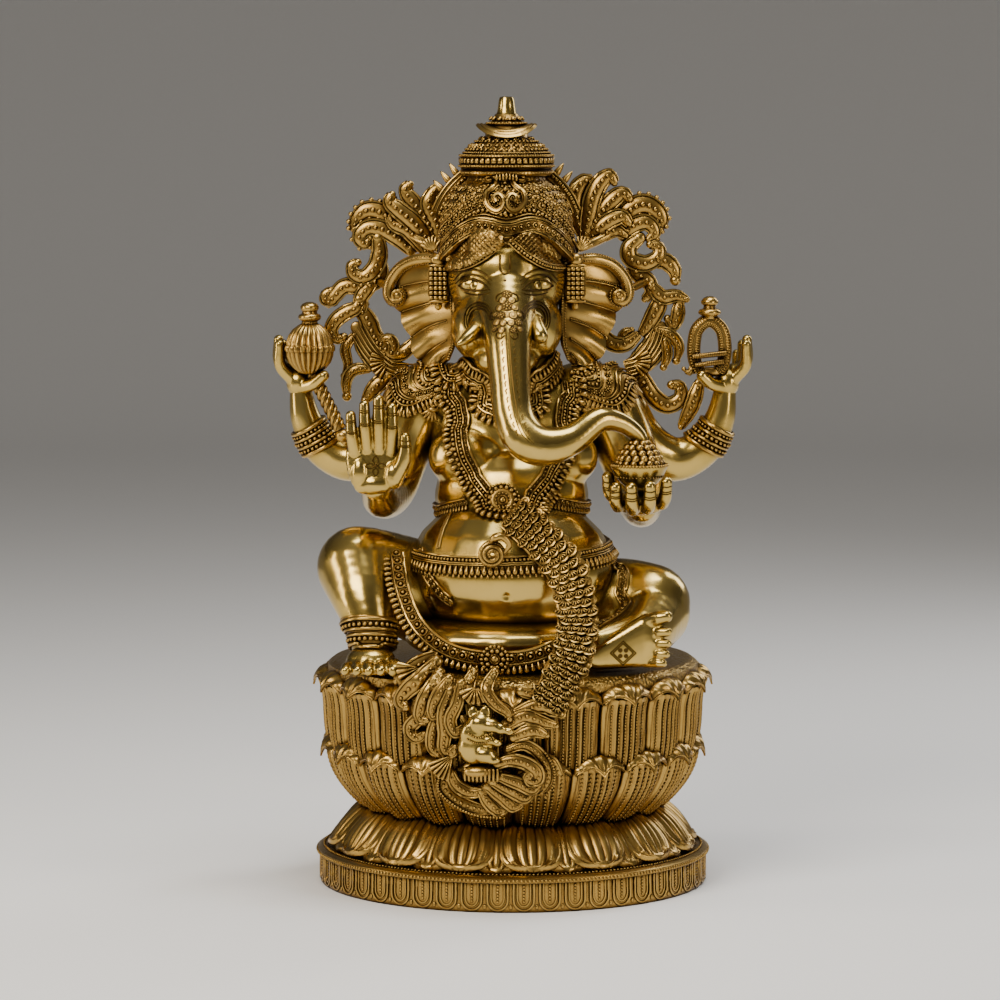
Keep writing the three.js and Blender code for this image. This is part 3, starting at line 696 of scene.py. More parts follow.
for side in (-1, 1):
    cartouche.add(BEAD, (1.2, 0.8, 2), (9.6 * side, 0, 4.4))
CARTOUCHE = (np.concatenate(cartouche.points), cartouche.faces)
wax = circle_of(Pile(), CARTOUCHE, 48, 3.0, r=150.4)
circle_of(wax, BEAD, 310, 0, 1.35, 152.7, 24.4)
circle_of(wax, BEAD, 300, 0, 1.0, 147.5, 28.3)
show(recalculated(wax.mesh("Plinth_cartouches")), ANTIQUE)

# %% Drooping petals of the plinth
DROOP = [(107, 59), (112, 57.5), (121, 50.5), (131, 40.5), (138, 33.5), (142.5, 29.6)]


def droop(u, v):
    u, v = 2 * u - 1, np.sin(v * np.pi / 2)
    wide = np.where(v < 0.5, 0.74 + 0.26 * np.sin(np.pi * np.clip(v, 0, 0.5)),
        np.sqrt(np.clip(1 - ((v - 0.5) / 0.5) ** 2.6, 0, 1)))
    p, n = bent(DROOP, v)
    up = 5.5 * (1 - u**2) * np.sin(np.pi * (0.15 + 0.8 * v))
    inner = np.clip(1 - (np.abs(u) / 0.6) ** 8, 0, 1) * np.clip((0.93 - v) / 0.1, 0, 1)
    up += inner * (1.1 * np.cos(u / 0.62 * np.pi * 4) - 0.9)
    up += 1.3 * (ridge(np.abs(u), 0.66, 0.035) + ridge(np.abs(u), 0.93, 0.045)) + 1.0 * ridge(v, 0.965, 0.02)
    a = u * wide * math.radians(10.6)
    r, z = p[:, 0] - n[:, 0] * up, p[:, 1] - n[:, 1] * up
    return np.stack([r * np.sin(a), r * np.cos(a), z], -1)


DROOPING = arrays(recalculated(grid("Drooping_petal", 54, 22, droop, 2.2, 1)))
UNDER = arrays(recalculated(grid("Under_petal", 32, 14, droop, 2.2, 1)))
UNDER = (UNDER[0] * (0.8, 0.985, 0.97), UNDER[1])
wax = circle_of(Pile(), DROOPING, 16, 6)
circle_of(wax, UNDER, 16, 17.25, z=-0.6)
show(recalculated(wax.mesh("Plinth_petals")), ANTIQUE, "plinth_petals")


# %% One curled lip, with ribs fanning from its cusp
def lip(name, wide, high, reach, ribs=9, fold=0.7, nu=44, nv=20):
    """Its back edge lies on y=0, and its double arched front edge meets in a cusp."""
    def place(u, v):
        u = 2 * u - 1
        top = high * (0.22 + 0.78 * np.sqrt(np.clip(1 - u**2, 0, 1)))
        edge = high * (0.36 * np.sin(np.pi * np.clip(np.abs(u), 0, 1) ** 0.9) + 0.12 * np.abs(u))
        out = reach * (0.42 + 0.58 * (1 - np.abs(u)) ** 0.8)
        turn = v * np.pi / 2
        y = out * np.sin(turn) ** fold
        z = top + (edge - top) * (1 - np.cos(turn)) ** 0.85
        fan = np.arctan2(u * 1.15, np.maximum(z / high, 0.02))
        rise = 0.75 * np.cos(fan * ribs * 1.15) * np.clip(v * 5, 0, 1) * np.clip((0.86 - v) * 9, 0, 1)
        rise += 0.9 * (ridge(v, 0.975, 0.03) + ridge(v, 0.87, 0.025))
        rise -= 0.9 * ridge(v, 0.92, 0.02)
        return np.stack([u * wide * (1 - 0.06 * v), y + rise * 0.8, z + rise * 0.5], -1)

    o = recalculated(grid(name, nu, nv, place, 1.5, -1))
    return arrays(o)


LIP = lip("Petal_lip", 22.5, 17, 12)
BIG_LIP = lip("Rim_lip", 24.4, 17, 15, ribs=10)
SMALL_LIP = lip("Waist_lip", 17.5, 10, 12, ribs=8, nu=34, nv=14)

# %% The two rows of upright petals
LOWER_LINE = [(105, 55), (113, 62), (124, 72), (134, 85), (139.5, 97), (141.5, 109)]
UPPER_LINE = [(139.5, 108), (141.5, 118), (142.5, 130), (143, 142), (144.5, 152), (147, 159)]


def upright(line):
    def place(u, v):
        u = 2 * u - 1
        p, n = bent(line, v)
        side = np.abs(u)
        arch = 0.80 + 0.13 * np.cos(np.clip(v, 0, 1) * 1.1)
        rise = 4.6 * (1 - side**2.2) - 3.4 * np.clip((side - 0.94) / 0.06, 0, 1)
        rise += 1.0 * (ridge(side, 0.88 * arch / 0.93, 0.022) + ridge(side, 0.79 * arch / 0.93, 0.02))
        for at in (0, 0.24, 0.48):
            rise += 1.05 * ridge(side, at, 0.028)
        rise -= 0.5 * ridge(side, 0.36, 0.05) + 0.5 * ridge(side, 0.12, 0.05)
        a = u * math.radians(9)
        r, z = p[:, 0] + n[:, 0] * rise, p[:, 1] + n[:, 1] * rise
        return np.stack([r * np.sin(a), r * np.cos(a), z], -1)

    return place


def upright_beads(line, pile, count, first, spacing=2.5):
    """Beaded lines between the ridges of every petal."""
    p, n = bent(line, np.linspace(0.02, 0.9, int(52 / spacing)))
    for i in range(count):
        for at in (-0.36, -0.12, 0.12, 0.36, -0.64, 0.64):
            axes = compass(first + (i + at / 2) * 360 / count)
            crown = 4.6 * (1 - abs(at) ** 2.2) + 0.3
            for (r, z), (nr, nz) in zip(p, n):
                pile.add(GRAIN, (0.9, 0.9, 1.15), axes[1] * (r + nr * crown) + axes[2] * (z + nz * crown),
                    axes)
    return pile


LOWER = arrays(recalculated(grid("Lower_petal", 80, 7, upright(LOWER_LINE), 2.4, 1)))
UPPER = arrays(recalculated(grid("Upper_petal", 80, 7, upright(UPPER_LINE), 2.4, 1)))
wax = circle_of(Pile(), LOWER, 20, 9)
circle_of(wax, LIP, 20, 9, r=139.5, z=99.5)
show(recalculated(wax.mesh("Bowl_petals_lower")), ANTIQUE, "bowl_petals_lower", angle=50)
wax = circle_of(Pile(), UPPER, 20, 0)
circle_of(wax, BIG_LIP, 20, 0, r=141, z=152.5)
show(recalculated(wax.mesh("Bowl_petals_upper")), ANTIQUE, "bowl_petals_upper", angle=50)
wax = upright_beads(LOWER_LINE, Pile(), 20, 9)
upright_beads(UPPER_LINE, wax, 20, 0)
show(wax.mesh("Bowl_beading"), ANTIQUE)
wax = circle_of(Pile(), SMALL_LIP, 20, 4, r=108, z=46.5)
circle_of(wax, SMALL_LIP, 20, 13, size=(0.8, 0.9, 0.9), r=106, z=50)
show(recalculated(wax.mesh("Waist_lips")), ANTIQUE, angle=50)
bowl = turned("Bowl_core", [
    (0, 53.5), (102, 53.5), (104, 56), (112, 63), (123, 73), (133, 86), (138, 98), (139, 108), (138, 120),
    (137, 140), (137, 154),
    (0, 154),
])
show(bowl, ANTIQUE, "lotus_bowl", angle=40)
plate = turned("Lotus_plate", [
    (0, 155), (139, 155), (143, 160), (145, 166), (144, 171), (140, 174), (136, 174.5), (100, 174.7),
    (60, 174.7), (0, 174.7),
], 200)
show(plate, STIPPLED, "lotus_seat", angle=40)

# %% [markdown]
# ## Chased ornament
# Jewellery on such a casting is wax thread and wax granules laid in rows: plain rails, rows of
# beads, ringed rosettes and hanging drops. One function lays any list of such rows along a line on
# the skin, so every necklace and hem below is a few numbers.
# %% Small shapes that repeat
def made(operator, **settings):
    bpy.ops.object.select_all(action="DESELECT")
    operator(**settings)
    return arrays(bpy.context.object)


def lathe_shape(profile, steps=10):
    return arrays(turned("Lathe_shape", profile, steps))


RING = made(bpy.ops.mesh.primitive_torus_add, major_segments=12, minor_segments=4, major_radius=0.78,
    minor_radius=0.24)
ROSETTE = Pile().add(RING).add(BEAD, (0.42, 0.42, 0.45), (0, 0, 0.05))
ROSETTE = (np.concatenate(ROSETTE.points), ROSETTE.faces)
FLOWER = Pile().add(BEAD, (0.36, 0.36, 0.5), (0, 0, 0.15))
for k in range(7):
    a = 2 * math.pi * k / 7
    FLOWER.add(BEAD, (0.34, 0.22, 0.3), (0.66 * math.cos(a), 0.66 * math.sin(a), 0),
               [(math.cos(a), math.sin(a), 0), (-math.sin(a), math.cos(a), 0), (0, 0, 1)])
FLOWER = (np.concatenate(FLOWER.points), FLOWER.faces)
DROP = lathe_shape([(0, 0), (0.42, 0.12), (0.5, 0.4), (0.85, 0.8), (1, 1.3), (0.8, 1.75), (0, 2)], 8)
DROP = (DROP[0][:, [0, 2, 1]] * (1, 1, 1), DROP[1])
SPIKE = lathe_shape([(0, 0), (1.5, 0.3), (2.3, 2.5), (2.4, 5), (1.7, 9), (0.8, 12), (0, 13.4)], 12)
bpy.ops.object.select_all(action="DESELECT")
bpy.ops.mesh.primitive_cube_add(size=2)
apply(bpy.context.object, "BEVEL", width=0.35, segments=1)
BOX = arrays(bpy.context.object)
LOBE = Pile().add(RING, (0.95, 1.05, 0.8)).add(BEAD, (0.66, 0.8, 0.3))
LOBE = (np.concatenate(LOBE.points), LOBE.faces)


# %% Rows of ornament along a line
def offset_line(points, offset, skin, lift, closed, front, out):
    base = Trail(points, 4, skin, 0, out, closed, front)
    moved = base.place + base.side * offset
    return moved[:-1] if closed else moved


def lace(pile, points, skin, rows, lift=0.0, closed=False, front=False, out=(0, -1, 0)):
    """rows: (kind, offset to the side, size, spacing[, lift])."""
    for kind, offset, size, spacing, *more in rows:
        line = offset_line(points, offset, skin, lift, closed, front, out)
        raised = lift + (more[0] if more else 0)
        t = Trail(line, spacing, skin, raised, out, closed, front)
        if kind == "rail":
            t.band(pile, round_section(size, 6))
        elif kind == "strap":
            (w, h), pieces = size, max(1, round(size[0] / 2.4))
            for k in range(pieces):
                middle = offset + w * ((2 * k + 1) / pieces - 1)
                narrow = Trail(offset_line(points, middle, skin, lift, closed, front, out), spacing, skin,
                    raised, out, closed, front)
                x = 1.2 * w / pieces
                narrow.band(pile, [(-x, 0.5 - h), (x, 0.5 - h), (x, 0), (x * 0.6, 0.3), (-x * 0.6, 0.3),
                    (-x, 0)])
        elif kind == "beads":
            t.beads(pile, BEAD, (size,) * 3)
        elif kind == "drops":
            t.beads(pile, DROP, (abs(size[0]), size[1], abs(size[0])))
        else:
            t.beads(pile, {"rosettes": ROSETTE, "flowers": FLOWER, "boxes": BOX, "lobes": LOBE}[kind],
                    size if isinstance(size, tuple) else (size,) * 3)
    return pile


# %% [markdown]
# ## The crown
# It is a stack of turned pieces, each with its own bead rows, over a body carpeted in granules. A
# beaded hem follows the brow in a double wave, with a cross-hatched swag under each half.
# %% Crown stack
CX, CY = -5, -8
BODY_LINE = [(0, 486), (50, 486), (51, 494), (51, 505), (50.2, 514), (48.2, 523), (44.5, 532), (39.5, 539),
    (33, 544), (30.5, 546),
             (29.5, 550), (0, 550)]
show(turned("Headdress_body", BODY_LINE, 120, (CX, CY)), STIPPLED, "crown_body", angle=35)
band = turned("Headdress_band", [
    (0, 549), (31, 549), (34, 549.6), (35.6, 551), (35.6, 552.6), (34.2, 554), (33, 554.4), (33, 555),
    (35.2, 555.4), (37, 556.6),
    (37, 557.6), (35.8, 558.4), (35, 558.8), (35, 563.2), (36, 563.6), (36.8, 564.4), (36.4, 565.4),
    (34, 566), (0, 566),
], 120, (CX, CY))
show(band, ANTIQUE, "crown_band", angle=35)
dome = turned("Headdress_dome", [
    (0, 565.8), (33, 565.8), (33.6, 566.8), (33, 567.8), (31, 568.4), (29.5, 570.5), (26, 573.5),
    (21.5, 576.3), (17.5, 578.4),
    (16.5, 580), (16.5, 583), (14, 587), (13, 588.4), (15.2, 589), (15.6, 590), (13.4, 590.8), (11.4, 591.4),
    (11.6, 592.4), (10, 594),
    (8.8, 596.6), (0, 596.6),
], 96, (CX, CY))
show(dome, ANTIQUE, "crown_dome", angle=35)
finial = turned("Headdress_finial", [
    (0, 596), (7.4, 596), (7.8, 597), (7.2, 598.4), (6.5, 603), (5.9, 607.6), (5.2, 609.4), (3.6, 610),
    (0, 610),
], 48, (CX, CY))
show(finial, POLISHED, "crown_finial", angle=35)


def crescent(u, v):
    """A round dish whose rim droops at the front and the back."""
    a, r = 2 * np.pi * u, 22.6 * v
    droops = np.abs(np.sin(a)) ** 1.4
    z = 588.5 - 1.5 * v**2 - 9.2 * droops * v**2.2 + 1.1 * (ridge(v, 0.96, 0.035) + ridge(v, 0.86, 0.03))
    return np.stack([CX + r * np.cos(a), CY + r * np.sin(a) * 0.94, z], -1)


show(recalculated(grid("Headdress_crescent", 72, 26, crescent, 1.6, -1)), ANTIQUE, angle=50)
wax = Pile()


def ring_row(shape, count, r, z, size, tilt=0.0, first=0.0):
    """Copies round the crown, whose z lies outward, tilted up."""
    for i in range(count):
        across, outward, up = compass(first + 360 * i / count)
        t = math.radians(tilt)
        face = outward * math.cos(t) + up * math.sin(t)
        wax.add(shape, size, np.array([CX, CY, z]) + outward * r, [across, np.cross(face, across), face])


ring_row(BOX, 46, 35.4, 561, (1.9, 2.1, 1.5))
ring_row(BEAD, 100, 36.6, 556.9, 0.95)
ring_row(BEAD, 96, 36.2, 565, 0.85)
ring_row(BEAD, 90, 33.4, 567, 0.9)
ring_row(ROSETTE, 24, 28.4, 572.2, 3.1, 45)
ring_row(BEAD, 48, 31.4, 569.4, 1.2)
ring_row(BEAD, 44, 24.2, 575.6, 1.1)
ring_row(ROSETTE, 18, 20.6, 578, 2.4, 50)
ring_row(BEAD, 14, 12.4, 593.2, (1.9, 2.2, 1.4), 40)
ring_row(BEAD, 34, 15.4, 589.6, 0.9)
ring_row(BEAD, 80, 35.2, 551.8, 0.9)
show(wax.mesh("Headdress_bead_rows"), ANTIQUE)

# %% Crown body ornament
CROWN = Skin(bpy.data.objects["Headdress_body"])
CROWN.tree = BVHTree.FromPolygons(
    [v.co / U for v in bpy.data.objects["Headdress_body"].data.vertices],
    [list(p.vertices) for p in bpy.data.objects["Headdress_body"].data.polygons],
)
HEM = [(-56.5, -5, 482), (-52, -32, 493), (-40, -48, 505.5), (-25, -57, 512.5), (-5, -60, 508.8),
    (15, -57, 512.5), (30, -48, 505.5),
       (42, -32, 493), (46.5, -5, 482), (40, 26, 485), (-5, 45, 486), (-50, 26, 485)]


def from_axis(p):
    return (p[0] - CX, p[1] - CY, 6)


def on_crown(x, y, z):
    """The point of the crown body at that height and in that direction."""
    z = min(z, 542)
    r = np.interp(z, [b[1] for b in BODY_LINE[2:10]], [b[0] for b in BODY_LINE[2:10]])
    far = math.hypot(x - CX, y - CY)
    return (CX + (x - CX) * r / far, CY + (y - CY) * r / far, z)


wax = Pile()
lace(wax, HEM, None, [
    ("strap", 0, (6, 5), 3), ("rail", 5.6, 0.9, 2, 0.6), ("rail", 3.9, 0.6, 2, 0.7),
    ("rail", -3.9, 0.6, 2, 0.7),
    ("rail", -5.6, 0.9, 2, 0.6), ("rosettes", 0, 2.5, 5.5, 0.9),
], lift=1.6, closed=True, out=from_axis)
show(wax.mesh("Headdress_hem"), ANTIQUE, "crown_hem")
wax = Pile()
for up, kind, size, spacing in [
    (8.2, "rail", 0.8, 2), (11, "beads", 1.7, 3.7), (14, "rail", 0.7, 2), (18, "flowers", 3.2, 6.8),
    (22.4, "beads", 1.4, 3.2),
    (25, "rail", 0.7, 2), (28.5, "lobes", 2.2, 5), (32, "beads", 1.2, 2.8),
]:
    row = [on_crown(x, y, z + up) for x, y, z in HEM]
    lace(wax, row, CROWN, [(kind, 0, size, spacing)], lift=0.5, closed=True)
for side in (-1, 1):
    scroll = [(-10, 545), (-11.6, 543.6), (-13.4, 545.4), (-11.4, 549), (-7.4, 548.4), (-5.8, 544),
        (-8.4, 540), (-13.2, 536.6),
              (-14.4, 530), (-10.6, 524), (-4.6, 523), (-1.2, 527.6), (-2.4, 533), (-6, 534.8), (-8.4, 532),
              (-6.4, 529.4)]
    points = [(CX - 1 - side * x, CY - 46, z) for x, z in scroll]
    lace(wax, points, CROWN, [("rail", 0, 1.5, 1.6, 2.2), ("rail", 1.7, 0.6, 1.6, 1.6),
        ("rail", -1.7, 0.6, 1.6, 1.6)], front=True)
    lace(wax, [(CX - 1 - side * 16, CY - 46, 538), (CX - 1 - side * 18, CY - 44, 532),
        (CX - 1 - side * 16, CY - 46, 526)], CROWN,
         [("flowers", 0, 2.6, 5, 0.8)], front=True)
for x, z, r in [(-6, 521, 1.8), (-6, 538.5, 2), (-6, 543, 1.5), (-6, 532, 1.2)]:
    at, normal = CROWN.front(x, z)
    wax.add(BEAD, r, at + normal * 1.5)
for k in range(7):
    wax.add(BEAD, (1.1, 1.1, 3), (CX + (k - 3) * 2.5, CY - 36.4 + 0.25 * abs(k - 3),
        549.6 - 0.5 * abs(k - 3)))
for row, (z, tilt, size) in enumerate([(519.5, 12, 3.3), (526.5, 22, 3.3), (533.5, 34, 3.2),
    (539.5, 46, 2.8)]):
    for i in range(36):
        a = math.radians(10 * i + 5 * (row % 2))
        outward, across = np.array((math.sin(a), -math.cos(a), 0)), np.array((math.cos(a), math.sin(a), 0))
        if math.cos(a) < 0.92:
            t = math.radians(tilt)
            face = outward * math.cos(t) + np.array((0, 0, 1)) * math.sin(t)
            at = np.array(on_crown(CX + outward[0] * 50, CY + outward[1] * 50, z))
            wax.add(ROSETTE if i % 2 else FLOWER, size, at + face * 0.5,
                [across, np.cross(face, across), face])
show(wax.mesh("Headdress_body_ornament"), ANTIQUE)

# %% Cross-hatched swags over the brow
SWAG_TOP = np.array([(-50, 480), (-47, 492), (-41.5, 499.5), (-31, 506), (-18.5, 507), (-9, 502)], float)
SWAG_LOW = np.array([(-50, 479), (-40, 480.4), (-30, 484.2), (-19, 491.2), (-11.5, 497.6), (-8, 501)], float)
HEAD_SKIN = Skin(head)


def swag(name, side):
    def place(u, v):
        a = smooth_line(SWAG_TOP, 16)
        b = smooth_line(SWAG_LOW, 16)
        k = u * (len(a) - 1)
        n = np.arange(len(a))
        top = np.stack([np.interp(k, n, a[:, i]) for i in (0, 1)], -1)
        low = np.stack([np.interp(k, n, b[:, i]) for i in (0, 1)], -1)
        flat = top * (1 - v)[:, None] + low * v[:, None]
        out = []
        for (x, z), vv in zip(flat, v):
            x = x if side < 0 else -10 - x
            at, normal = HEAD_SKIN.front(x, min(z, 492))
            y = (at[1] if at is not None else -30) - 3.6
            hatch = max(abs(math.sin((x + z) * 0.8)), abs(math.sin((x - z) * 0.8))) ** 5
            edge = min(1, 8 * vv, 8 * (1 - vv))
            out.append((x, y - 1.4 * math.sin(math.pi * vv) - 1.5 * hatch * edge, z))
        return np.array(out)

    return recalculated(grid(name, 120, 44, place, 3.2, -1))


wax = Pile()
for side, name in ((-1, "Brow_swag_l"), (1, "Brow_swag_r")):
    piece = swag(name, side)
    lower = smooth_line(SWAG_LOW, 6)
    pts = []
    for x, z in lower:
        x = x if side < 0 else -10 - x
        at, normal = HEAD_SKIN.front(x, min(z, 492))
        pts.append((x, (at[1] if at is not None else -30) - 4.6, z))
    lace(wax, pts, None, [("beads", 0, 1.5, 2.9), ("rail", 2.2, 0.8, 2), ("rail", -2, 0.8, 2)])
    show(piece, ANTIQUE, angle=50)
show(wax.mesh("Brow_swag_beads"), ANTIQUE)

# %% Ray combs beside the crown
wax = Pile()
for side in (-1, 1):
    at = lambda x, y, z: (CX + side * (x - CX) * -1 if side > 0 else x, y, z)
    comb = [at(-58, 4, 521), at(-53.4, 3, 531), at(-46.5, 3, 540.5), at(-38.5, 4, 548), at(-31.5, 6, 553.6)]
    lace(wax, comb, None, [("strap", 0, (5, 4), 2), ("rail", 4.6, 0.9, 2, 0.5), ("rail", -4.6, 0.9, 2, 0.5),
        ("rail", 1.6, 0.6, 2, 0.5),
                           ("boxes", -1.8, (1.5, 1.3, 1.0), 3.8, 0.6)])
    for foot, tip in [((-52.5, 536), (-62, 545.6)), ((-47, 542), (-56.4, 552.6)),
        ((-41.4, 547.4), (-49.6, 558.8)), ((-36, 552), (-42, 563.4))]:
        a, b = np.array(at(foot[0], 6, foot[1])), np.array(at(tip[0], 8, tip[1]))
        up = unit(b - a)
        across = unit(np.cross(up, (0, 1, 0)))
        wax.add(SPIKE, (1.15, 1.15, np.linalg.norm(b - a) / 13.4), a, [across, np.cross(up, across), up])
show(recalculated(wax.mesh("Headdress_ray_combs")), ANTIQUE, "crown_rays_l", "crown_rays_r")

# %% [markdown]
# ## Jewellery
# Every strap is laid on the melted skin. A line that runs to the viewer's right has its side
# direction upwards, so a negative offset or drop hangs down.
# %% Collar, necklace and pendant
def one_skin(*objects, voxel=2.2):
    """The outside of several skins together, so that nothing is laid inside a joint."""
    pile = Pile()
    for o in objects:
        pile.add((np.array([v.co for v in o.data.vertices]), [tuple(p.vertices) for p in o.data.polygons]))
    together = melt(pile, "Together", voxel, 2)
    skin = Skin(together)
    bpy.data.objects.remove(together)
    return skin


CHEST = one_skin(torso, arm_front_l, arm_front_r)
COLLAR = [(-52, -22, 411), (-47, -38, 400), (-36, -52, 389), (-21, -64, 380), (-4, -69, 376), (13, -65, 380),
    (28, -54, 389),
          (39, -40, 400), (44, -24, 411)]
wax = Pile()
lace(wax, COLLAR, CHEST, [
    ("strap", 0.5, (9, 4), 3), ("rail", 8.6, 1.2, 2, 0.8), ("drops", 7, (1.7, -3), 3.6, 1),
    ("rail", 1.4, 0.9, 2, 1),
    ("rail", -0.8, 0.9, 2, 1), ("beads", -3.2, 1.4, 3, 1), ("drops", -4.6, (2, -4.6), 4.3, 1),
    ("rail", -5, 0.8, 2, 1.4),
], lift=2.6)
show(recalculated(wax.mesh("Collar")), ANTIQUE, "collar")
NECKLACE = [(-50, -32, 392), (-48.5, -46, 376), (-45.5, -56, 358), (-41.5, -63, 338), (-34, -70, 320),
    (-22, -78, 305), (-5, -82, 298),
            (14, -80, 303), (28, -72, 317), (38, -64, 337), (43.5, -54, 358), (46, -44, 376), (46, -30, 392)]
wax = Pile()
lace(wax, NECKLACE, CHEST, [
    ("strap", 0, (8, 3.4), 3), ("drops", -4, (2.3, -3.4), 4.9, 1.3), ("beads", -2.4, 1.7, 3.6, 1.2),
    ("rail", -0.2, 0.8, 2, 1.1),
    ("beads", 2, 1.3, 2.8, 1.1), ("rail", 4, 0.8, 2, 1.1), ("rosettes", 6.2, 1.7, 3.8, 1),
    ("rail", 8.2, 1, 2, 0.8),
], lift=1.8)
lace(wax, [(4, -82, 295), (14, -80, 299), (23, -74, 307), (30, -70, 316)], CHEST,
     [("drops", -3, (1.9, -4.6), 3.9, 1.4), ("rail", -3, 0.8, 2, 1.8)], lift=1.3)
at, out = CHEST.front(-7.4, 303)
axes = [(1, 0, 0), np.cross(out, (1, 0, 0)), out]


def badge(pile, at, axes, rings, dome):
    """Concentric rings of beads and rails round a boss: (radius, bead size, how many)."""
    axes = [unit(a) for a in axes]
    for r, size, count in rings:
        if count:
            for k in range(count):
                a = 2 * math.pi * k / count
                pile.add(BEAD, size, at + axes[0] * r * math.cos(a) + axes[1] * r * math.sin(a), axes)
        else:
            pile.add(RING, (r / 0.78, r / 0.78, size * 4), at, axes)
    pile.add(BALL, (dome, dome, dome * 0.6), at, axes)


pendant = at + out * 5.5
wax.add(BALL, (13, 13, 2.6), pendant - out * 2.6, axes)
badge(wax, pendant, axes, [(3.4, 0.9, 0), (5.4, 1.1, 12), (7.6, 0.9, 0), (10, 1.9, 15), (12.6, 1.2, 26)], 2.2)
show(recalculated(wax.mesh("Necklace")), ANTIQUE, "necklace")


# %% Shoulder capes
def cape(side):
    """Rows that run over a shoulder at a growing distance from the neck."""
    wax = Pile()
    neck = np.array((-3 + side * 47, -8, 404.0))
    outward, front, back = unit((side * 0.86, 0, -0.5)), unit((side * 0.28, -0.8, -0.52)), unit((side * 0.28,
        0.8, -0.5))

    def arc(d, low=-95, high=95):
        line = []
        for a in np.linspace(low, high, 13):
            t = math.radians(a)
            line.append(neck + d * (math.cos(t) * outward + (math.sin(t) * (back if t > 0 else -front))))
        return [CHEST.nearest(p)[0] for p in line]

    down = 1 if side < 0 else -1
    for d in (10, 17, 24, 31, 38):
        lace(wax, arc(d), CHEST, [("strap", 0, (3.8, 2.4), 3)], lift=0.9)
    for d, kind, size, spacing in [
        (8, "rail", 0.8, 2), (13, "drops", (1.8, 3.2), 3.6), (14, "rail", 0.7, 2), (17.5, "beads", 1.4, 3),
        (21, "rail", 0.7, 2), (24, "beads", 1.5, 3.2),
        (27, "rail", 0.7, 2), (31, "flowers", 3, 6.4), (35, "rail", 0.8, 2), (37, "rail", 0.7, 2),
        (39.5, "beads", 1.5, 3.2),
        (42, "rail", 0.9, 2), (42.5, "drops", (1.75, 4.6), 3.7), (46, "drops", (1.3, 3.2), 3.7),
    ]:
        if kind == "drops":
            size = (size[0], size[1] * down)
        lace(wax, arc(d), CHEST, [(kind, 0, size, spacing, 0.8)], lift=1.1)
    x = side
    strap = [(-3 + x * 45, -38, 396), (-3 + x * 53, -38, 383), (-3 + x * 60, -36, 369)]
    lace(wax, strap, CHEST, [("strap", 0, (3.6, 3), 3), ("rail", -2.6, 0.8, 2, 1), ("rail", 2.6, 0.8, 2, 1),
        ("beads", 0, 1.4, 3, 1)],
         lift=1.4)
    foot, face = CHEST.nearest(strap[-1])
    for k in range(-2, 3):
        a = math.radians(22 * k)
        down_line = unit(np.array((x * 0.42, 0.1, -0.9)) * math.cos(a) + np.array((-0.9, 0,
            -0.42 * x)) * math.sin(a))
        wax.add(BEAD, (1.6, 1.6, 5.4), foot + face * 2.6 + down_line * 5,
            [np.cross(down_line, face), face, down_line])
    wax.add(BEAD, (5, 2.4, 2.4), foot + face * 2.4)
    name = "l" if side < 0 else "r"
    return show(recalculated(wax.mesh("Shoulder_cape_" + name)), ANTIQUE, "shoulder_cape_" + name)


cape(-1)
cape(1)

# %% Belt, under-bust band and thread
wax = Pile()


def belt_point(a, r=1.0):
    t = math.radians(a)
    z = 263 - 5 * math.cos(t) if math.cos(t) > 0 else 263 - 4 * math.cos(t)
    return (-1 + 82 * r * math.sin(t), -37 - (74 if math.cos(t) > 0 else 62) * r * math.cos(t),
        z + 3 * math.sin(t))


BELT = [belt_point(a) for a in range(-180, 180, 20)]
TORSO = Skin(torso)
lace(wax, BELT, TORSO, [
    ("strap", 0, (6.6, 4), 3), ("rail", 6.2, 0.9, 2, 0.8), ("beads", 4, 1.4, 3.1, 0.9),
    ("rail", 1.9, 0.7, 2, 0.9),
    ("rail", 0.5, 0.7, 2, 0.9), ("drops", -0.4, (2.1, -3.6), 4.5, 1.3), ("rail", -6.4, 0.7, 2, 0.5),
    ("drops", -5.6, (1.2, -2.2), 4.5, 0.8),
], lift=1.5, closed=True)
lace(wax, [(-66, -8, 293), (-62, -34, 293), (-50, -52, 297), (-36, -64, 301)], TORSO, [
    ("strap", 0, (3.4, 3), 3), ("rail", 3, 0.8, 2, 0.7), ("rosettes", 0.2, 2, 4.4, 1.1),
    ("drops", -2, (1.3, -2.4), 3, 0.8)], lift=1.1)
lace(wax, [(30, -66, 303), (44, -55, 299), (57, -34, 296), (63, -6, 295)], TORSO, [
    ("strap", 0, (3.4, 3), 3), ("rail", 3, 0.8, 2, 0.7), ("rosettes", 0.2, 2, 4.4, 1.1),
    ("drops", -2, (1.3, -2.4), 3, 0.8)], lift=1.1)
lace(wax, [(-37, -70, 306), (-47, -72, 293), (-54, -74, 280), (-57, -74, 268)], TORSO,
     [("rail", 1.2, 0.75, 2), ("beads", 0, 0.75, 1.7, 0.4), ("rail", -1.2, 0.75, 2)], lift=0.4, front=True)
coil = []
for k in range(40):
    a, r = 0.42 * k, 9.6 - 0.19 * k
    coil.append((-16 + r * math.cos(a), -117 - 0.09 * k, 267 + r * math.sin(a)))
t = Trail(coil, 1.4)
t.band(wax, round_section(2.3, 8), [0.3, 0.9, 1, 1, 1, 1, 0.9, 0.6])
Trail([(x, y - 2.1, z) for x, y, z in coil], 2.0).beads(wax, BEAD, (0.75, 0.6, 0.6))
Trail([(-7, -118, 268), (-3, -120, 275), (-9, -121, 281), (-15, -120, 279), (-17, -118, 274)], 1.4).band(
    wax, round_section(2.3, 8), [0.6, 1, 1.2, 1.5, 0.3])
show(recalculated(wax.mesh("Belt")), ANTIQUE, "belt")


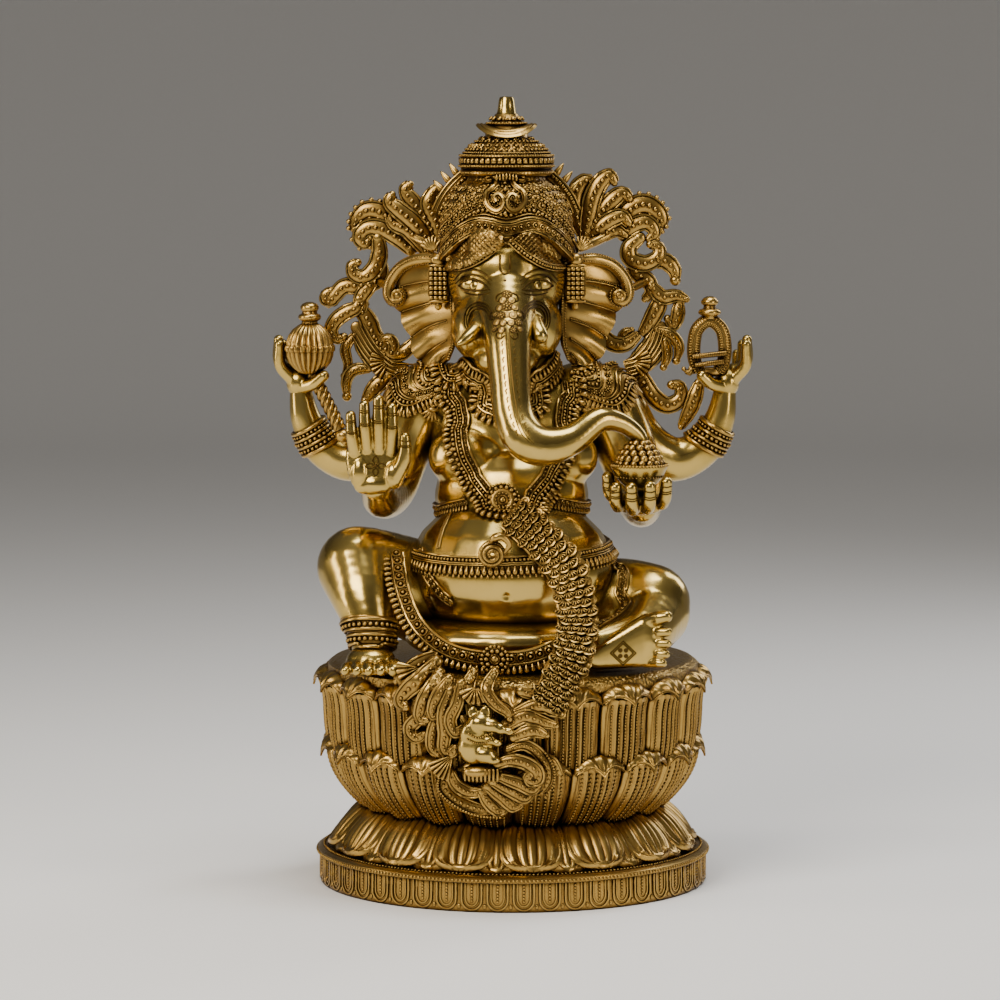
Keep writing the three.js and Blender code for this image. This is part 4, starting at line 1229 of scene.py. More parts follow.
# %% Cuffs round limbs
def cuff(name, skin, centre, axis, radius, rows, *nodes):
    wax = Pile()
    axis = unit(axis)
    a = unit(np.cross(axis, (0.1, 1, 0.2)))
    b = np.cross(axis, a)
    for along, kind, size, spacing, *more in rows:
        ring = [np.array(centre) + axis * along + radius * (a * math.cos(t) + b * math.sin(t))
                for t in np.linspace(0, 2 * math.pi, 14, endpoint=False)]
        lace(wax, ring, skin, [(kind, 0, size, spacing, *more)], lift=0.6, closed=True)
    return show(recalculated(wax.mesh(name)), ANTIQUE, *nodes)


CUFF = [(0, "strap", (10, 3), 3), (-9, "rail", 1.9, 2, 0.6), (-5.6, "beads", 1.6, 3.4, 0.9),
    (-2.4, "rail", 1.4, 2, 0.8),
        (0.6, "beads", 1.7, 3.6, 1.1), (3.6, "rail", 1.4, 2, 0.8), (6.4, "beads", 1.4, 3, 0.9),
        (9.4, "rail", 1.9, 2, 0.6)]
for side, name, arm in ((-1, "l", arm_rear_l), (1, "r", arm_rear_r)):
    cuff("Rear_bangle_" + name, Skin(arm), (side * 154, 21.2, 346), (side * 0.48, -0.1, 0.87), 16, CUFF,
        "bangle_rear_" + name)
LEG = Skin(leg_raised, foot_raised)
ANKLE = [(0, "strap", (11, 3), 3), (-10, "rail", 1.7, 2, 0.8), (-6.4, "beads", 1.9, 4, 1.2),
    (-3, "rail", 1.5, 2, 0.8), (1.5, "rail", 1.5, 2, 0.8),
         (5, "beads", 1.9, 4, 1.2), (9, "rail", 1.7, 2, 0.8)]
cuff("Anklets", LEG, (-107.5, -84, 203), (0.02, 0.25, 0.97), 20, ANKLE, "anklets")

# %% [markdown]
# ## Sash and garland
# The sash falls from the pendant over the lap and off the seat. It is a strap under overlapping
# scallops, and a beaded rail runs down one edge. The garland is a narrower strap of ringed flowers.
# %% Sash
LAP = one_skin(torso, leg_raised, leg_folded)
SASH = [(0, -95, 295), (18, -108, 279), (36, -114, 258), (45, -119, 234), (46, -130, 212), (42, -142, 192),
    (33, -152, 174),
        (24, -160, 160)]
wax = Pile()
t = Trail(SASH, 3, None)
t.band(wax, [(-13, -3.4), (13, -3.4), (13, -1), (9, 0.4), (-9, 0.4), (-13, -1)],
    [0.85, 0.95, 1, 1, 1, 1.05, 1.1, 0.9])


def sash_rows(pile, line, width, seed):
    """Overlapping ribbed leaves that point down the strap, each row shifted half a leaf."""
    t = Trail(line, 7.2)
    rng = np.random.default_rng(seed)
    for i in range(t.count):
        f, s, o = t.forward[i], t.side[i], t.out[i]
        for k in range(-1, 2 + i % 2):
            across = (k - 0.5 * (i % 2)) * width * 0.62 + 1.2
            r = 4.7 + 0.7 * rng.random()
            tilt, turn = 0.5, 0.35 * (rng.random() - 0.5) + 0.25 * across / width
            down, wide = unit(f + s * turn), unit(s - f * turn)
            axes = [unit(down * math.cos(tilt) + o * math.sin(tilt)), wide,
                unit(o * math.cos(tilt) - down * math.sin(tilt))]
            here = t.place[i] + s * across + o * 0.8
            pile.add(LOBE, (r * 1.2, r, r * 0.75), here, axes)
            for j in range(-2, 3):
                b = 0.42 * j
                rib = unit(axes[0] * math.cos(b) + axes[1] * math.sin(b))
                pile.add(BEAD, (r * 0.72, 0.7, 0.8),
                    here + axes[2] * r * 0.34 + (rib - axes[0]) * r * 0.6 + axes[0] * r * 0.2,
                         [rib, np.cross(axes[2], rib), axes[2]])
    return pile


sash_rows(wax, SASH, 12, 3)
lace(wax, SASH, None, [("rail", -12.4, 1.2, 2, 0.6), ("beads", -10.6, 1.1, 2.3, 0.9),
    ("rail", -9, 0.7, 2, 0.8), ("lobes", 13.4, (4, 4, 2.6), 7.2, 0)])
show(recalculated(wax.mesh("Sash")), ANTIQUE, "sash")

# %% Garland and lap straps
GARLAND = [(-90, -68, 262), (-86, -88, 240), (-76, -104, 216), (-60, -116, 200), (-40, -124, 191),
    (-14, -128, 188), (12, -128, 190),
           (34, -128, 198)]
wax = Pile()
Trail(GARLAND, 3).band(wax, [(-6.4, -3), (6.4, -3), (6.4, -0.6), (4.6, 0.5), (-4.6, 0.5), (-6.4, -0.6)])
lace(wax, GARLAND, None, [
    ("rail", 6.2, 1.2, 2, 0.6), ("rosettes", 1, 3.6, 7.4, 1.4), ("beads", 4.4, 0.8, 1.8, 0.8),
    ("rail", -3, 0.8, 2, 1),
    ("drops", -4, (2.2, -3.4), 4.6, 0.9),
])
middle = np.array((-14, -131, 189.5))
badge(wax, middle + (0, -1.6, 0), [(1, 0, 0), (0, 0, 1), (0, -1, 0)],
    [(3.6, 0.9, 0), (6.4, 2.1, 10), (9.8, 1.6, 20)], 3)
wax.add(BALL, (9.6, 2.6, 8.2), middle + (0, 1.6, 0))
for line in (
    [(-66, -62, 262), (-62, -92, 236), (-56, -104, 222)],
    [(78, -40, 262), (84, -62, 246), (74, -86, 226), (62, -100, 212)],
):
    lace(wax, line, LAP, [("strap", 0, (4.4, 3), 3), ("rail", 3.8, 0.9, 2, 0.6), ("rosettes", 0, 2.2, 4.6, 1),
        ("rail", -3.8, 0.9, 2, 0.6)],
         lift=0.8)
show(recalculated(wax.mesh("Garland")), ANTIQUE, "garland")
wax = Pile()
wax.ball(-4, -56, 197, 80, 58, 21).roll([(-70, -66, 200, 12), (-30, -98, 187, 9), (14, -104, 186, 9),
    (52, -84, 190, 9)])
cloth = cut_below(melt(wax, "Lap_cloth", 2.2, 6), SEAT + 0.6)
show(cloth, POLISHED, "lap_cloth")

# %% Chased marks on the palm, the fingers and the sole
PALM, SOLE = Skin(hand_blessing), Skin(foot_folded)
wax = Pile()
for k in range(4):
    a = math.radians(90 * k)
    leaf = [(-104 + r * math.cos(a + b), -130, 332 + r * math.sin(a + b)) for r,
        b in ((1.4, 0), (4.4, 0.5), (7.6, 0), (4.4, -0.5), (1.4, 0))]
    Trail(leaf, 1.1, PALM, 0, front=True).band(wax, round_section(0.55, 6))
at, normal = PALM.front(-104, 332)
wax.add(BALL, (1.4, 0.9, 1.4), at)
GRIP = Skin(hand_bowl)
for f in BLESSING + GIVING:
    palm, far = (PALM, -130) if f[0][0] < 0 else (GRIP, -160)
    (x0, _, z0, r0), (x1, _, z1, r1) = f[-2][:4], f[-1][:4]
    for share in (0.05, 0.14, 0.66, 0.76) if f[0][2] > 340 else (0.2, 0.34, 0.7):
        x, z, r = x0 + (x1 - x0) * share, z0 + (z1 - z0) * share, r0 + (r1 - r0) * share
        Trail([(x - 0.82 * r, far, z + 0.3), (x, far, z - 0.4), (x + 0.82 * r, far, z + 0.3)], 1, palm, 0,
            front=True).band(
            wax, round_section(0.5, 6))
for r in (7.4, 9.2):
    square = [(83 + r * 1.05 * math.cos(a), -150, 191.5 + r * math.sin(a)) for a in np.radians((0, 90, 180,
        270))]
    for i in range(4):
        p, q = np.array(square[i]), np.array(square[(i + 1) % 4])
        Trail([p, (2 * p + q) / 3, (p + 2 * q) / 3, q], 1.2, SOLE, 0, front=True).band(wax,
            round_section(0.5, 6))
for k in range(4):
    a = math.radians(45 + 90 * k)
    at, normal = SOLE.front(83 + 3 * math.cos(a), 191.5 + 3 * math.sin(a))
    wax.add(BALL, (1.7, 0.5, 1.7), at)
# The marks are painted dark, as the shade of engraved grooves.
show(recalculated(wax.mesh("Palm_and_sole_marks")), PAINTED_GROOVE_SHADE)

# %% [markdown]
# ## Scrolls and leaves
# Foliage on such a casting is built from one motif: a crowned strand with a raised rim on both
# sides and a row of granules down its middle, which thins out and curls in. The arch behind the
# head is made of these strands, and so is the spray on the seat's front, over a backing of wax.
# %% Strands and fans
def strand(pile, points, wide, y=None, high=4.0, taper=(0.55, 1, 1, 0.75, 0.35), beads=True, curl=0.0,
    out=(0, -1, 0)):
    line = [(p[0], y, p[1]) for p in points] if y is not None else points
    t = Trail(line, 1.8, out=out)
    t.band(pile, [(-wide, -0.9 * high), (wide, -0.9 * high), (wide, 0), (0.62 * wide, 0.62 * high),
        (0, 0.8 * high),
                  (-0.62 * wide, 0.62 * high), (-wide, 0)], taper)
    size = np.interp(np.linspace(0, 1, t.count), np.linspace(0, 1, len(taper)), taper)[:, None]
    for s in (-0.86, 0.86):
        rim = t.place + t.side * s * wide * size + t.out * 0.45 * high * size
        Trail(rim[:: 2] if len(rim) > 5 else rim, 1.8, out=out).band(pile,
            round_section(min(1.1, 0.24 * wide), 6), taper)
    if beads:
        k = 0.0
        for i in range(1, t.count - 1):
            k += 1.8
            if k >= 0.5 * wide * size[i, 0] + 1:
                k = 0
                pile.add(BEAD, 0.26 * wide * size[i, 0], t.place[i] + t.out[i] * 0.85 * high * size[i, 0])
    start = wide * taper[0]
    pile.add(BALL, (start, 0.9 * high * taper[0], start), t.place[0])
    if curl:
        pile.add(BALL, (curl, curl * 0.9, curl), t.place[-1])
    return pile


def fan(pile, centre, reach, low, high, ribs, tilt=2.5, thick=1.8):
    """A shell of radial ribs with a scalloped edge, seen from the front."""
    def place(u, v):
        a = np.radians(low + (high - low) * u)
        rib = np.abs(np.sin(u * np.pi * ribs))
        r = reach * (0.12 + 0.88 * v) * (1 + 0.06 * rib * v**3)
        rise = 1.5 * rib * v**0.6 + tilt * np.sin(v * np.pi * 0.75) + 0.8 * ridge(v, 0.96, 0.05)
        return np.stack([centre[0] + r * np.cos(a), centre[1] - rise, centre[2] + r * np.sin(a)], -1)

    return pile.add(arrays(recalculated(grid("Fan", 10 * ribs, 12, place, thick, 1))))


# %% The arch behind the head
ARCH_L = dict(
    leaves=[
        ([(-60, 489), (-56, 502), (-57, 516), (-53, 527)], 4.6, 1.5),
        ([(-62, 487), (-57, 500), (-60, 513), (-66, 526), (-62, 536), (-57, 540)], 4.8, 2),
        ([(-63, 487), (-62, 502), (-69, 516), (-78, 528), (-84, 537), (-80, 542)], 5.2, 2.2),
        ([(-65, 487), (-69, 502), (-78, 513), (-89, 522), (-96, 528), (-94, 534)], 5.4, 2.2),
        ([(-66, 487), (-74, 498), (-83, 507), (-93, 511), (-96, 517)], 4.6, 2),
    ],
    waves=[
        ([(-77, 494), (-88, 508), (-101, 519), (-113, 522), (-122, 515), (-124, 507)], 6.2, 2.4),
        ([(-80, 491), (-90, 500), (-102, 507), (-113, 508), (-120, 501), (-115, 495), (-111, 500)], 5.4, 2.2),
        ([(-105, 500), (-104, 489), (-107, 478), (-115, 470), (-123, 471), (-126, 478), (-121, 481)], 5.2,
        2.4),
        ([(-105, 486), (-103, 474), (-108, 466), (-120, 463), (-132, 462), (-139, 455), (-144, 450),
        (-147, 455), (-142, 459)], 5.2, 2.4),
        ([(-108, 467), (-115, 459), (-119, 452), (-117, 446), (-123, 446)], 4.6, 2),
        ([(-120, 452), (-122, 446), (-130, 442), (-138, 436), (-142, 428), (-138, 421), (-132, 423)], 4.6,
        2.4),
        ([(-121, 446), (-114, 437), (-109, 424), (-101, 410), (-90, 397)], 5.6, 0),
        ([(-109, 424), (-98, 412), (-87, 410), (-78, 418), (-76, 424)], 4.8, 0),
        ([(-95, 409), (-93, 417), (-98, 422), (-104, 418)], 3.2, 2),
        ([(-124, 424), (-131, 414), (-129, 401), (-132, 392)], 3, 2.4),
        ([(-112, 398), (-124, 397), (-130, 389), (-130, 376)], 3.4, 3),
        ([(-98, 392), (-107, 384), (-116, 373)], 5, 2.4),
    ],
    blade=[(-122, 430), (-111, 412), (-97, 398), (-82, 396)],
)
ARCH_R = dict(
    leaves=[
        ([(54, 502), (50, 516), (48, 530), (52, 541), (59, 545), (61, 540)], 5.2, 2.6),
        ([(56, 500), (59, 516), (62, 531), (68, 543), (75, 549), (79, 543)], 5.2, 2.2),
        ([(58, 500), (66, 516), (76, 528), (85, 535), (91, 531)], 5.2, 2.4),
        ([(60, 499), (71, 511), (84, 517), (91, 511)], 4.8, 2),
        ([(57, 494), (68, 502), (80, 506), (88, 502)], 4.2, 2),
    ],
    waves=[
        ([(84, 508), (89, 519), (99, 526), (109, 524), (116, 515), (113, 507)], 6.4, 2.4),
        ([(86, 502), (95, 510), (105, 512), (111, 504), (106, 499)], 5, 2.2),
        ([(99, 500), (91, 493), (92, 484), (103, 480), (113, 485), (114, 493), (107, 495)], 5.2, 2.4),
        ([(92, 484), (97, 473), (106, 466), (108, 458), (103, 452)], 5, 2),
        ([(108, 482), (119, 482), (126, 475), (127, 467)], 5, 3.4),
        ([(108, 463), (117, 454), (128, 455), (136, 452)], 4.4, 2),
        ([(117, 454), (112, 443), (106, 432), (100, 424)], 5.2, 0),
        ([(130, 450), (129, 440), (126, 432), (121, 437)], 4, 2.4),
        ([(70, 426), (77, 418), (88, 417), (99, 425)], 4.8, 0), ([(86, 417), (87, 425), (93, 428)], 3, 2),
        ([(113, 428), (124, 424), (130, 415), (128, 404)], 3.4, 2.6),
        ([(119, 420), (121, 409), (118, 399)], 3, 2.4),
        ([(96, 402), (101, 390), (110, 376), (121, 369), (131, 374), (131, 384), (124, 385)], 5.4, 2.6),
        ([(146, 386), (140, 368), (132, 352)], 4.6, 2),
    ],
    blade=[(116, 430), (110, 414), (99, 402), (88, 398)],
)
ARCH_Y, FULL = 30, 1.36
for name, arch in (("l", ARCH_L), ("r", ARCH_R)):
    wax = Pile()
    for i, (points, wide, curl) in enumerate(arch["leaves"]):
        strand(wax, points, wide * FULL, y=ARCH_Y - 3 - 1.3 * (i % 2), high=5, curl=curl * 1.3,
            taper=(0.6, 1, 1.1, 1, 0.6))
    show(recalculated(wax.mesh("Arch_crest_" + name)), ANTIQUE, "arch_crest_" + name)
    wax = Pile()
    for i, (points, wide, curl) in enumerate(arch["waves"]):
        strand(wax, points, wide * FULL, y=ARCH_Y - 0.8 * (i % 3), curl=curl * 1.3, high=4.6,
            taper=(0.7, 1, 1, 0.85, 0.5))
    side = -1 if name == "l" else 1
    Trail([(side * 104, 28, 466), (side * 94 - 2, 14, 461), (side * 88 - 3, 5, 458)], 2).band(wax,
        round_section(3.2, 8))
    Trail([(side * 82 - 2, 30, 505), (side * 66 - 3, 20, 497), (side * 52 - 4, 6, 492)], 2).band(wax,
        round_section(4, 8))
    for edge, wide, _ in arch["waves"][:2]:
        t = Trail([(x, ARCH_Y - 1, z) for x, z in edge], 4.4)
        size = np.interp(np.linspace(0, 1, t.count), np.linspace(0, 1, 5), (0.7, 1, 1, 0.85, 0.5))[:, None]
        t.place = t.place + t.side * side * wide * FULL * size
        t.beads(wax, BEAD, (2.1, 2.1, 2.4))
    show(recalculated(wax.mesh("Arch_scroll_" + name)), ANTIQUE, "arch_scroll_" + name)
    wax = Pile()
    strand(wax, arch["blade"], 10, y=ARCH_Y - 1, high=3.2, taper=(0.5, 1, 1.1, 1, 0.55), beads=False)
    for off in (-6, -3, 0, 3, 6):
        t = Trail([(x, ARCH_Y - 4.2 + 0.12 * abs(off), z) for x, z in arch["blade"]], 2.2)
        t.place = t.place + t.side * off
        t.band(wax, round_section(0.8, 5), [0.3, 1, 1, 0.4])
    fan(wax, (side * 95 - 2, ARCH_Y - 3, 404), 14, 150 if side < 0 else -60, 250 if side < 0 else 40, 6)
    for k in range(4):
        x, z = arch["waves"][11][0][1] if name == "l" else arch["waves"][12][0][1]
        wax.add(BEAD, (6, 5, 1.1), (x - side * 3 + side * 1.9 * k, ARCH_Y, z + 4 - 3 * k),
            [unit((1, 0, side * 0.7)), (0, 1, 0), unit((-side * 0.7, 0, 1))])
    show(recalculated(wax.mesh("Arch_leaf_" + name)), ANTIQUE, "arch_leaf_" + name)

# %% [markdown]
# ## What the hands hold
# A fluted mace, a noose bent to a stirrup, and a bowl heaped with round sweets.
# %% Mace
MX, MY = -158, 8


def fluted(name, profile, flutes, depth, centre, low=0.0, high=1.0, steps=0):
    line = np.array(profile, float)

    def place(u, v):
        k = v * (len(line) - 1)
        r, z = (np.interp(k, np.arange(len(line)), line[:, i]) for i in (0, 1))
        a = 2 * np.pi * u
        inside = ((v > low) & (v < high)).astype(float)
        r = r * (1 - inside * depth * np.abs(np.cos(a * flutes / 2)) ** 3)
        return np.stack([centre[0] + r * np.cos(a), centre[1] + r * np.sin(a), z], -1)

    return recalculated(grid(name, steps or flutes * 8, len(line) - 1, place))


mace = [(0, 395), (6, 395), (8.5, 396), (13, 399.5), (16.6, 404), (18.4, 409), (18.8, 412.4), (19.8, 413),
    (20, 415), (19.8, 417), (18.8, 417.6),
        (18.4, 420), (16.8, 425), (13.6, 429.6), (9, 433), (6.4, 434.4), (6, 436), (8.4, 437.6), (9, 439.4),
        (8.2, 441.2), (6.2, 442), (5.8, 443.6),
        (7, 445.4), (7.2, 447.6), (5.6, 449.6), (2.6, 451), (0, 451.2)]
show(fluted("Mace_head", mace, 22, 0.09, (MX, MY), 0.04, 0.6), ANTIQUE, "mace_head", angle=45)
wax = Pile()
shaft = Trail([(MX + 2, 8, 398), (-151, 6, 386), (-141, 4, 366), (-134, 2, 352)], 1.2)
shaft.band(wax, round_section(4.2, 10))
for k in range(4):
    rope = []
    for i, p in enumerate(shaft.place):
        a = i * 0.33 + k * math.pi / 2
        rope.append(p + shaft.side[i] * 4 * math.cos(a) + shaft.out[i] * 4 * math.sin(a))
    Trail(rope[::2], 1.4).band(wax, round_section(1.5, 6))
wax.ball(-132, 1, 347.5, 6.4, 6.4, 5.4).ball(-130.4, 0.6, 342.6, 3, 3, 3)
show(recalculated(wax.mesh("Mace_shaft")), ANTIQUE, "mace_shaft")

# %% Noose
wax = Pile()
STIRRUP = [(145, 9, 397), (141.4, 9, 406), (140.8, 9, 418), (143.6, 9, 430), (152.8, 9, 436.6), (162, 9, 430),
    (164.8, 9, 418), (164.2, 9, 406), (160, 9, 397)]
t = Trail(STIRRUP, 2)
t.band(wax, [(-5, -4), (5, -4), (5, 0), (3.4, 3.4), (0, 4), (-3.4, 3.4), (-5, 0)], [0.9, 1, 1, 1, 0.9])
for s, r in ((-4.4, 0.9), (4.4, 0.9), (0, 0.8)):
    Trail(t.place + t.side * s + t.out * (3.6 if s == 0 else 1.6), 2).band(wax, round_section(r, 6))
for i in range(t.count):
    for s in (-2.4, 2.4):
        wax.add(BEAD, (0.6, 2.0, 0.8), t.place[i] + t.side[i] * s + t.out[i] * 3.4,
            [t.forward[i], t.side[i], t.out[i]])
for z, w in ((409.5, 13), (403, 11)):
    bar = Trail([(152.8 - w, 3.5, z - 1), (152.8, 2, z + 0.6), (152.8 + w, 3.5, z + 2)], 1.4)
    bar.band(wax, round_section(2.1, 8))
    for i in range(0, bar.count, 1):
        wax.add(BEAD, (0.6, 2.5, 2.5), bar.place[i],
            [unit(bar.forward[i] + bar.side[i] * 0.5), bar.side[i], bar.out[i]])
wax.ball(152.8, 9, 396.5, 10, 5, 4)
strand(wax, [(141, 402), (137, 396), (133, 399)], 2.6, y=8, high=2.4, curl=1.8)
knob = turned("Knob", [(0, 438), (5, 438), (5.4, 440), (8.4, 441.4), (9, 443), (8, 445), (5, 446), (4.6, 448),
    (6.6, 449.6), (6.8, 451.6), (5, 454), (2.4, 455.4), (0, 455.6)], 32, (153, 9))
wax.add(arrays(knob))
show(recalculated(wax.mesh("Noose")), ANTIQUE, "noose")

# %% Sweets
BX, BY = 95, -104
bowl_profile = [(0, 314), (9, 314), (10.6, 315.4), (10.4, 317), (14, 320), (18, 325), (20.4, 330),
    (21.4, 332.2), (21.4, 334), (20, 334.6), (18.6, 333), (0, 331)]
show(turned("Sweets_bowl", bowl_profile, 72, (BX, BY)), POLISHED, "sweets_bowl", angle=40)
wax = Pile()
rng = np.random.default_rng(7)
for level, (r, z) in enumerate([(16.2, 334.6), (15, 338.4), (12.6, 342.2), (9.4, 346), (5.6, 349),
    (1.4, 351)]):
    count = max(1, int(2 * math.pi * r / 5.7))
    for k in range(count):
        a = 2 * math.pi * (k + 0.5 * (level % 2)) / count
        wax.add(BALL, 3.1 + 0.2 * rng.random(), (BX + r * math.cos(a), BY + r * math.sin(a),
            z + 0.6 * rng.random()))
wax.ball(BX, BY, 336, 15, 15, 13)
show(wax.mesh("Sweets"), ANTIQUE, "sweets")
wax = Pile()
for count, r, z, size in ((52, 21.4, 333.6, 1.15), (44, 18.4, 325, 0.8)):
    for k in range(count):
        a = 2 * math.pi * k / count
        wax.add(BEAD, size, (BX + r * math.cos(a), BY + r * math.sin(a), z))
show(wax.mesh("Bowl_beads"), ANTIQUE)

# %% [markdown]
# ## The spray and the mouse on the seat's front
# Feathery leaves spill from the garland's medallion over the petals. In their middle sits a plain
# polished mouse, the deity's mount, with strings of beads, over a small basket.
# %% Spray
def before_petals(x, z, lift):
    """A point in front of the bowl at that place."""
    r = np.interp(z, [76, 90, 108, 125, 160, 176, 190], [139, 143, 150, 149, 152, 150, 128])
    return (x, -math.sqrt(max(r * r - x * x, 1)) - lift, z)


SPRAY = [
    ([(-58, 190), (-69, 185), (-79, 179), (-88, 172)], 6.5, 5, 2.4),
    ([(-58, 186), (-70, 175), (-80, 166), (-85, 158), (-80, 153)], 6.5, 6, 2.6),
    ([(-55, 180), (-64, 166), (-69, 155), (-70, 146), (-64, 145)], 5.2, 9, 2),
    ([(-48, 177), (-56, 165), (-60, 155), (-60, 149), (-55, 150)], 4.8, 10, 2),
    ([(-60, 158), (-71, 146), (-78, 137), (-73, 130), (-66, 134)], 5.2, 5, 2.4),
    ([(-56, 150), (-60, 137), (-61, 124), (-56, 119)], 4.8, 6, 2),
    ([(-47, 168), (-52, 152), (-51, 137), (-52, 125), (-47, 120), (-43, 126)], 5.2, 9, 2.2),
    ([(-39, 174), (-42, 159), (-47, 147), (-43, 137), (-35, 143), (-38, 149)], 4.6, 10, 2),
    ([(-50, 106), (-52, 94), (-43, 84), (-28, 78), (-13, 77)], 5.6, 5, 2.4),
    ([(-47, 106), (-43, 97), (-33, 91), (-20, 92)], 4.6, 8, 2),
    ([(-24, 92), (-18, 83), (-10, 76), (-6, 80)], 4.8, 8, 2.4),
    ([(-19, 96), (-8, 88), (0, 80), (6, 83)], 4.8, 9, 2.4),
    ([(-15, 100), (-1, 93), (9, 87), (14, 92)], 4.8, 9, 2.4),
    ([(-10, 104), (4, 99), (14, 93), (19, 97)], 4.4, 9, 2.2),
    ([(-12, 114), (-2, 117), (9, 115), (18, 108), (17, 101), (10, 102), (12, 107)], 5, 10, 2.2),
    ([(-4, 124), (8, 128), (18, 122), (25, 111), (26, 100), (21, 91)], 4.4, 6, 2),
    ([(20, 119), (29, 114), (35, 105)], 4, 4, 1.6),
    ([(-6, 142), (8, 150), (20, 146), (32, 142)], 5.4, 6, 2.2),
    ([(0, 134), (14, 139), (25, 135)], 5.2, 7, 2.2),
    ([(2, 152), (20, 158), (32, 153), (38, 157)], 5.6, 5, 2.2),
    ([(-14, 182), (-20, 171), (-14, 160), (-5, 153), (-3, 148)], 4.4, 9, 2.6),
    ([(-30, 181), (-34, 170), (-28, 160), (-22, 158)], 5, 6, 2),
    ([(6, 168), (18, 166), (30, 164), (40, 168)], 5.4, 4, 2),
]
wax = Pile()
for points, wide, lift, _ in SPRAY:
    for x, z in smooth_line(np.array(points, float), 5)[:-2]:
        wax.add(BALL, (wide * 0.95, 4.4, wide * 0.95), before_petals(x, z, lift - 4.5))
spray = melt(wax, "Spray_backing", 1.5, 3)
show(spray, STIPPLED, "foliage")
wax = Pile()
for points, wide, lift, curl in SPRAY:
    strand(wax, [before_petals(x, z, lift - 1.5) for x, z in points], wide, high=3.2, curl=curl,
        taper=(0.7, 1, 1.1, 0.9, 0.5))
fan(wax, before_petals(-70, 183, 8), 17, 165, 265, 6)
fan(wax, before_petals(-45, 120, 8), 19, 195, 262, 6)
fan(wax, before_petals(-28, 172, 9), 12, 190, 330, 7)
t = Trail([before_petals(x, z, 9) for x, z in ((-55, 106), (-56, 92), (-44, 80), (-27, 73), (-10, 72))], 2.4)
t.beads(wax, BEAD, (1.2, 1.2, 1.2))
t = Trail([before_petals(x, z, 9) for x, z in ((24, 122), (30, 111), (30, 98), (24, 88))], 2.2)
t.beads(wax, BEAD, (1, 1, 1))
show(recalculated(wax.mesh("Spray_leaves")), ANTIQUE)

# %% Mouse
wax = Pile()


def mouse_ball(x, d, z, rx, ry, rz):
    wax.ball(x, before_petals(x, z, 0)[1] - d, z, rx, ry, rz)


for b in [(-29, 9, 127, 13, 10, 14), (-29, 10, 137, 11.5, 9, 11), (-25, 11, 145, 9.4, 8, 8),
    (-17, 12, 143.6, 7.6, 6.6, 6.2), (-10, 13, 141.4, 5.4, 5, 4.6),
          (-3, 14, 139.6, 3.8, 3.6, 3.2), (-21, 14, 122, 9, 7, 7), (-15, 15, 118, 6, 4.4, 3.4),
          (-18, 15, 133, 6, 4, 4), (-12, 16, 131, 4, 3.4, 3)]:
    mouse_ball(*b)
for x, z in ((-21, 153.5), (-30, 153)):
    y = before_petals(x, z, 11)[1]
    wax.add(BALL, (4.4, 2, 5.6), (x, y, z))
mouse = melt(wax, "Mouse", 1.0, 9)
skin = Skin(mouse)
wax = Pile()
for r, line in ((0.95, [(-33, 138), (-27, 135), (-21, 136), (-16, 139)]),
    (0.8, [(-34, 134), (-27, 131), (-20, 132), (-14, 136)])):
    t = Trail([(x, before_petals(x, z, 20)[1], z) for x, z in line], 2 * r, skin, 0.5, front=True)
    t.beads(wax, BEAD, (r, r, r))
for x, z in ((-16, 145.6), (-3, 140)):
    at, normal = skin.front(x, z)
    wax.add(BALL, (1.3, 0.8, 1.1), at)
wax.ball(-24, before_petals(-24, 108, 6)[1], 108, 14, 8, 6)
for k in range(9):
    x = -36 + 3 * k
    wax.add(BEAD, (1.4, 1.6, 6), before_petals(x, 106, 13 - 0.12 * (k - 4) ** 2))
show(recalculated(wax.mesh("Mouse_beads_and_basket")), ANTIQUE)
show(mouse, POLISHED, "mouse")

# %% [markdown]
# ## Ear rims, straps and face
# The eyes, the brow lines, the mark on the forehead and the chased panel on the trunk are thin raised
# lines laid on the head's skin, painted dark as the shade of engraved grooves. The tusks come out of ringed
# sockets.
# %% Ear rims and bead lines
def place_on_ear(side, u, v):
    return ear_place(side)(np.array([float(u)]), np.array([float(v)]))[0]


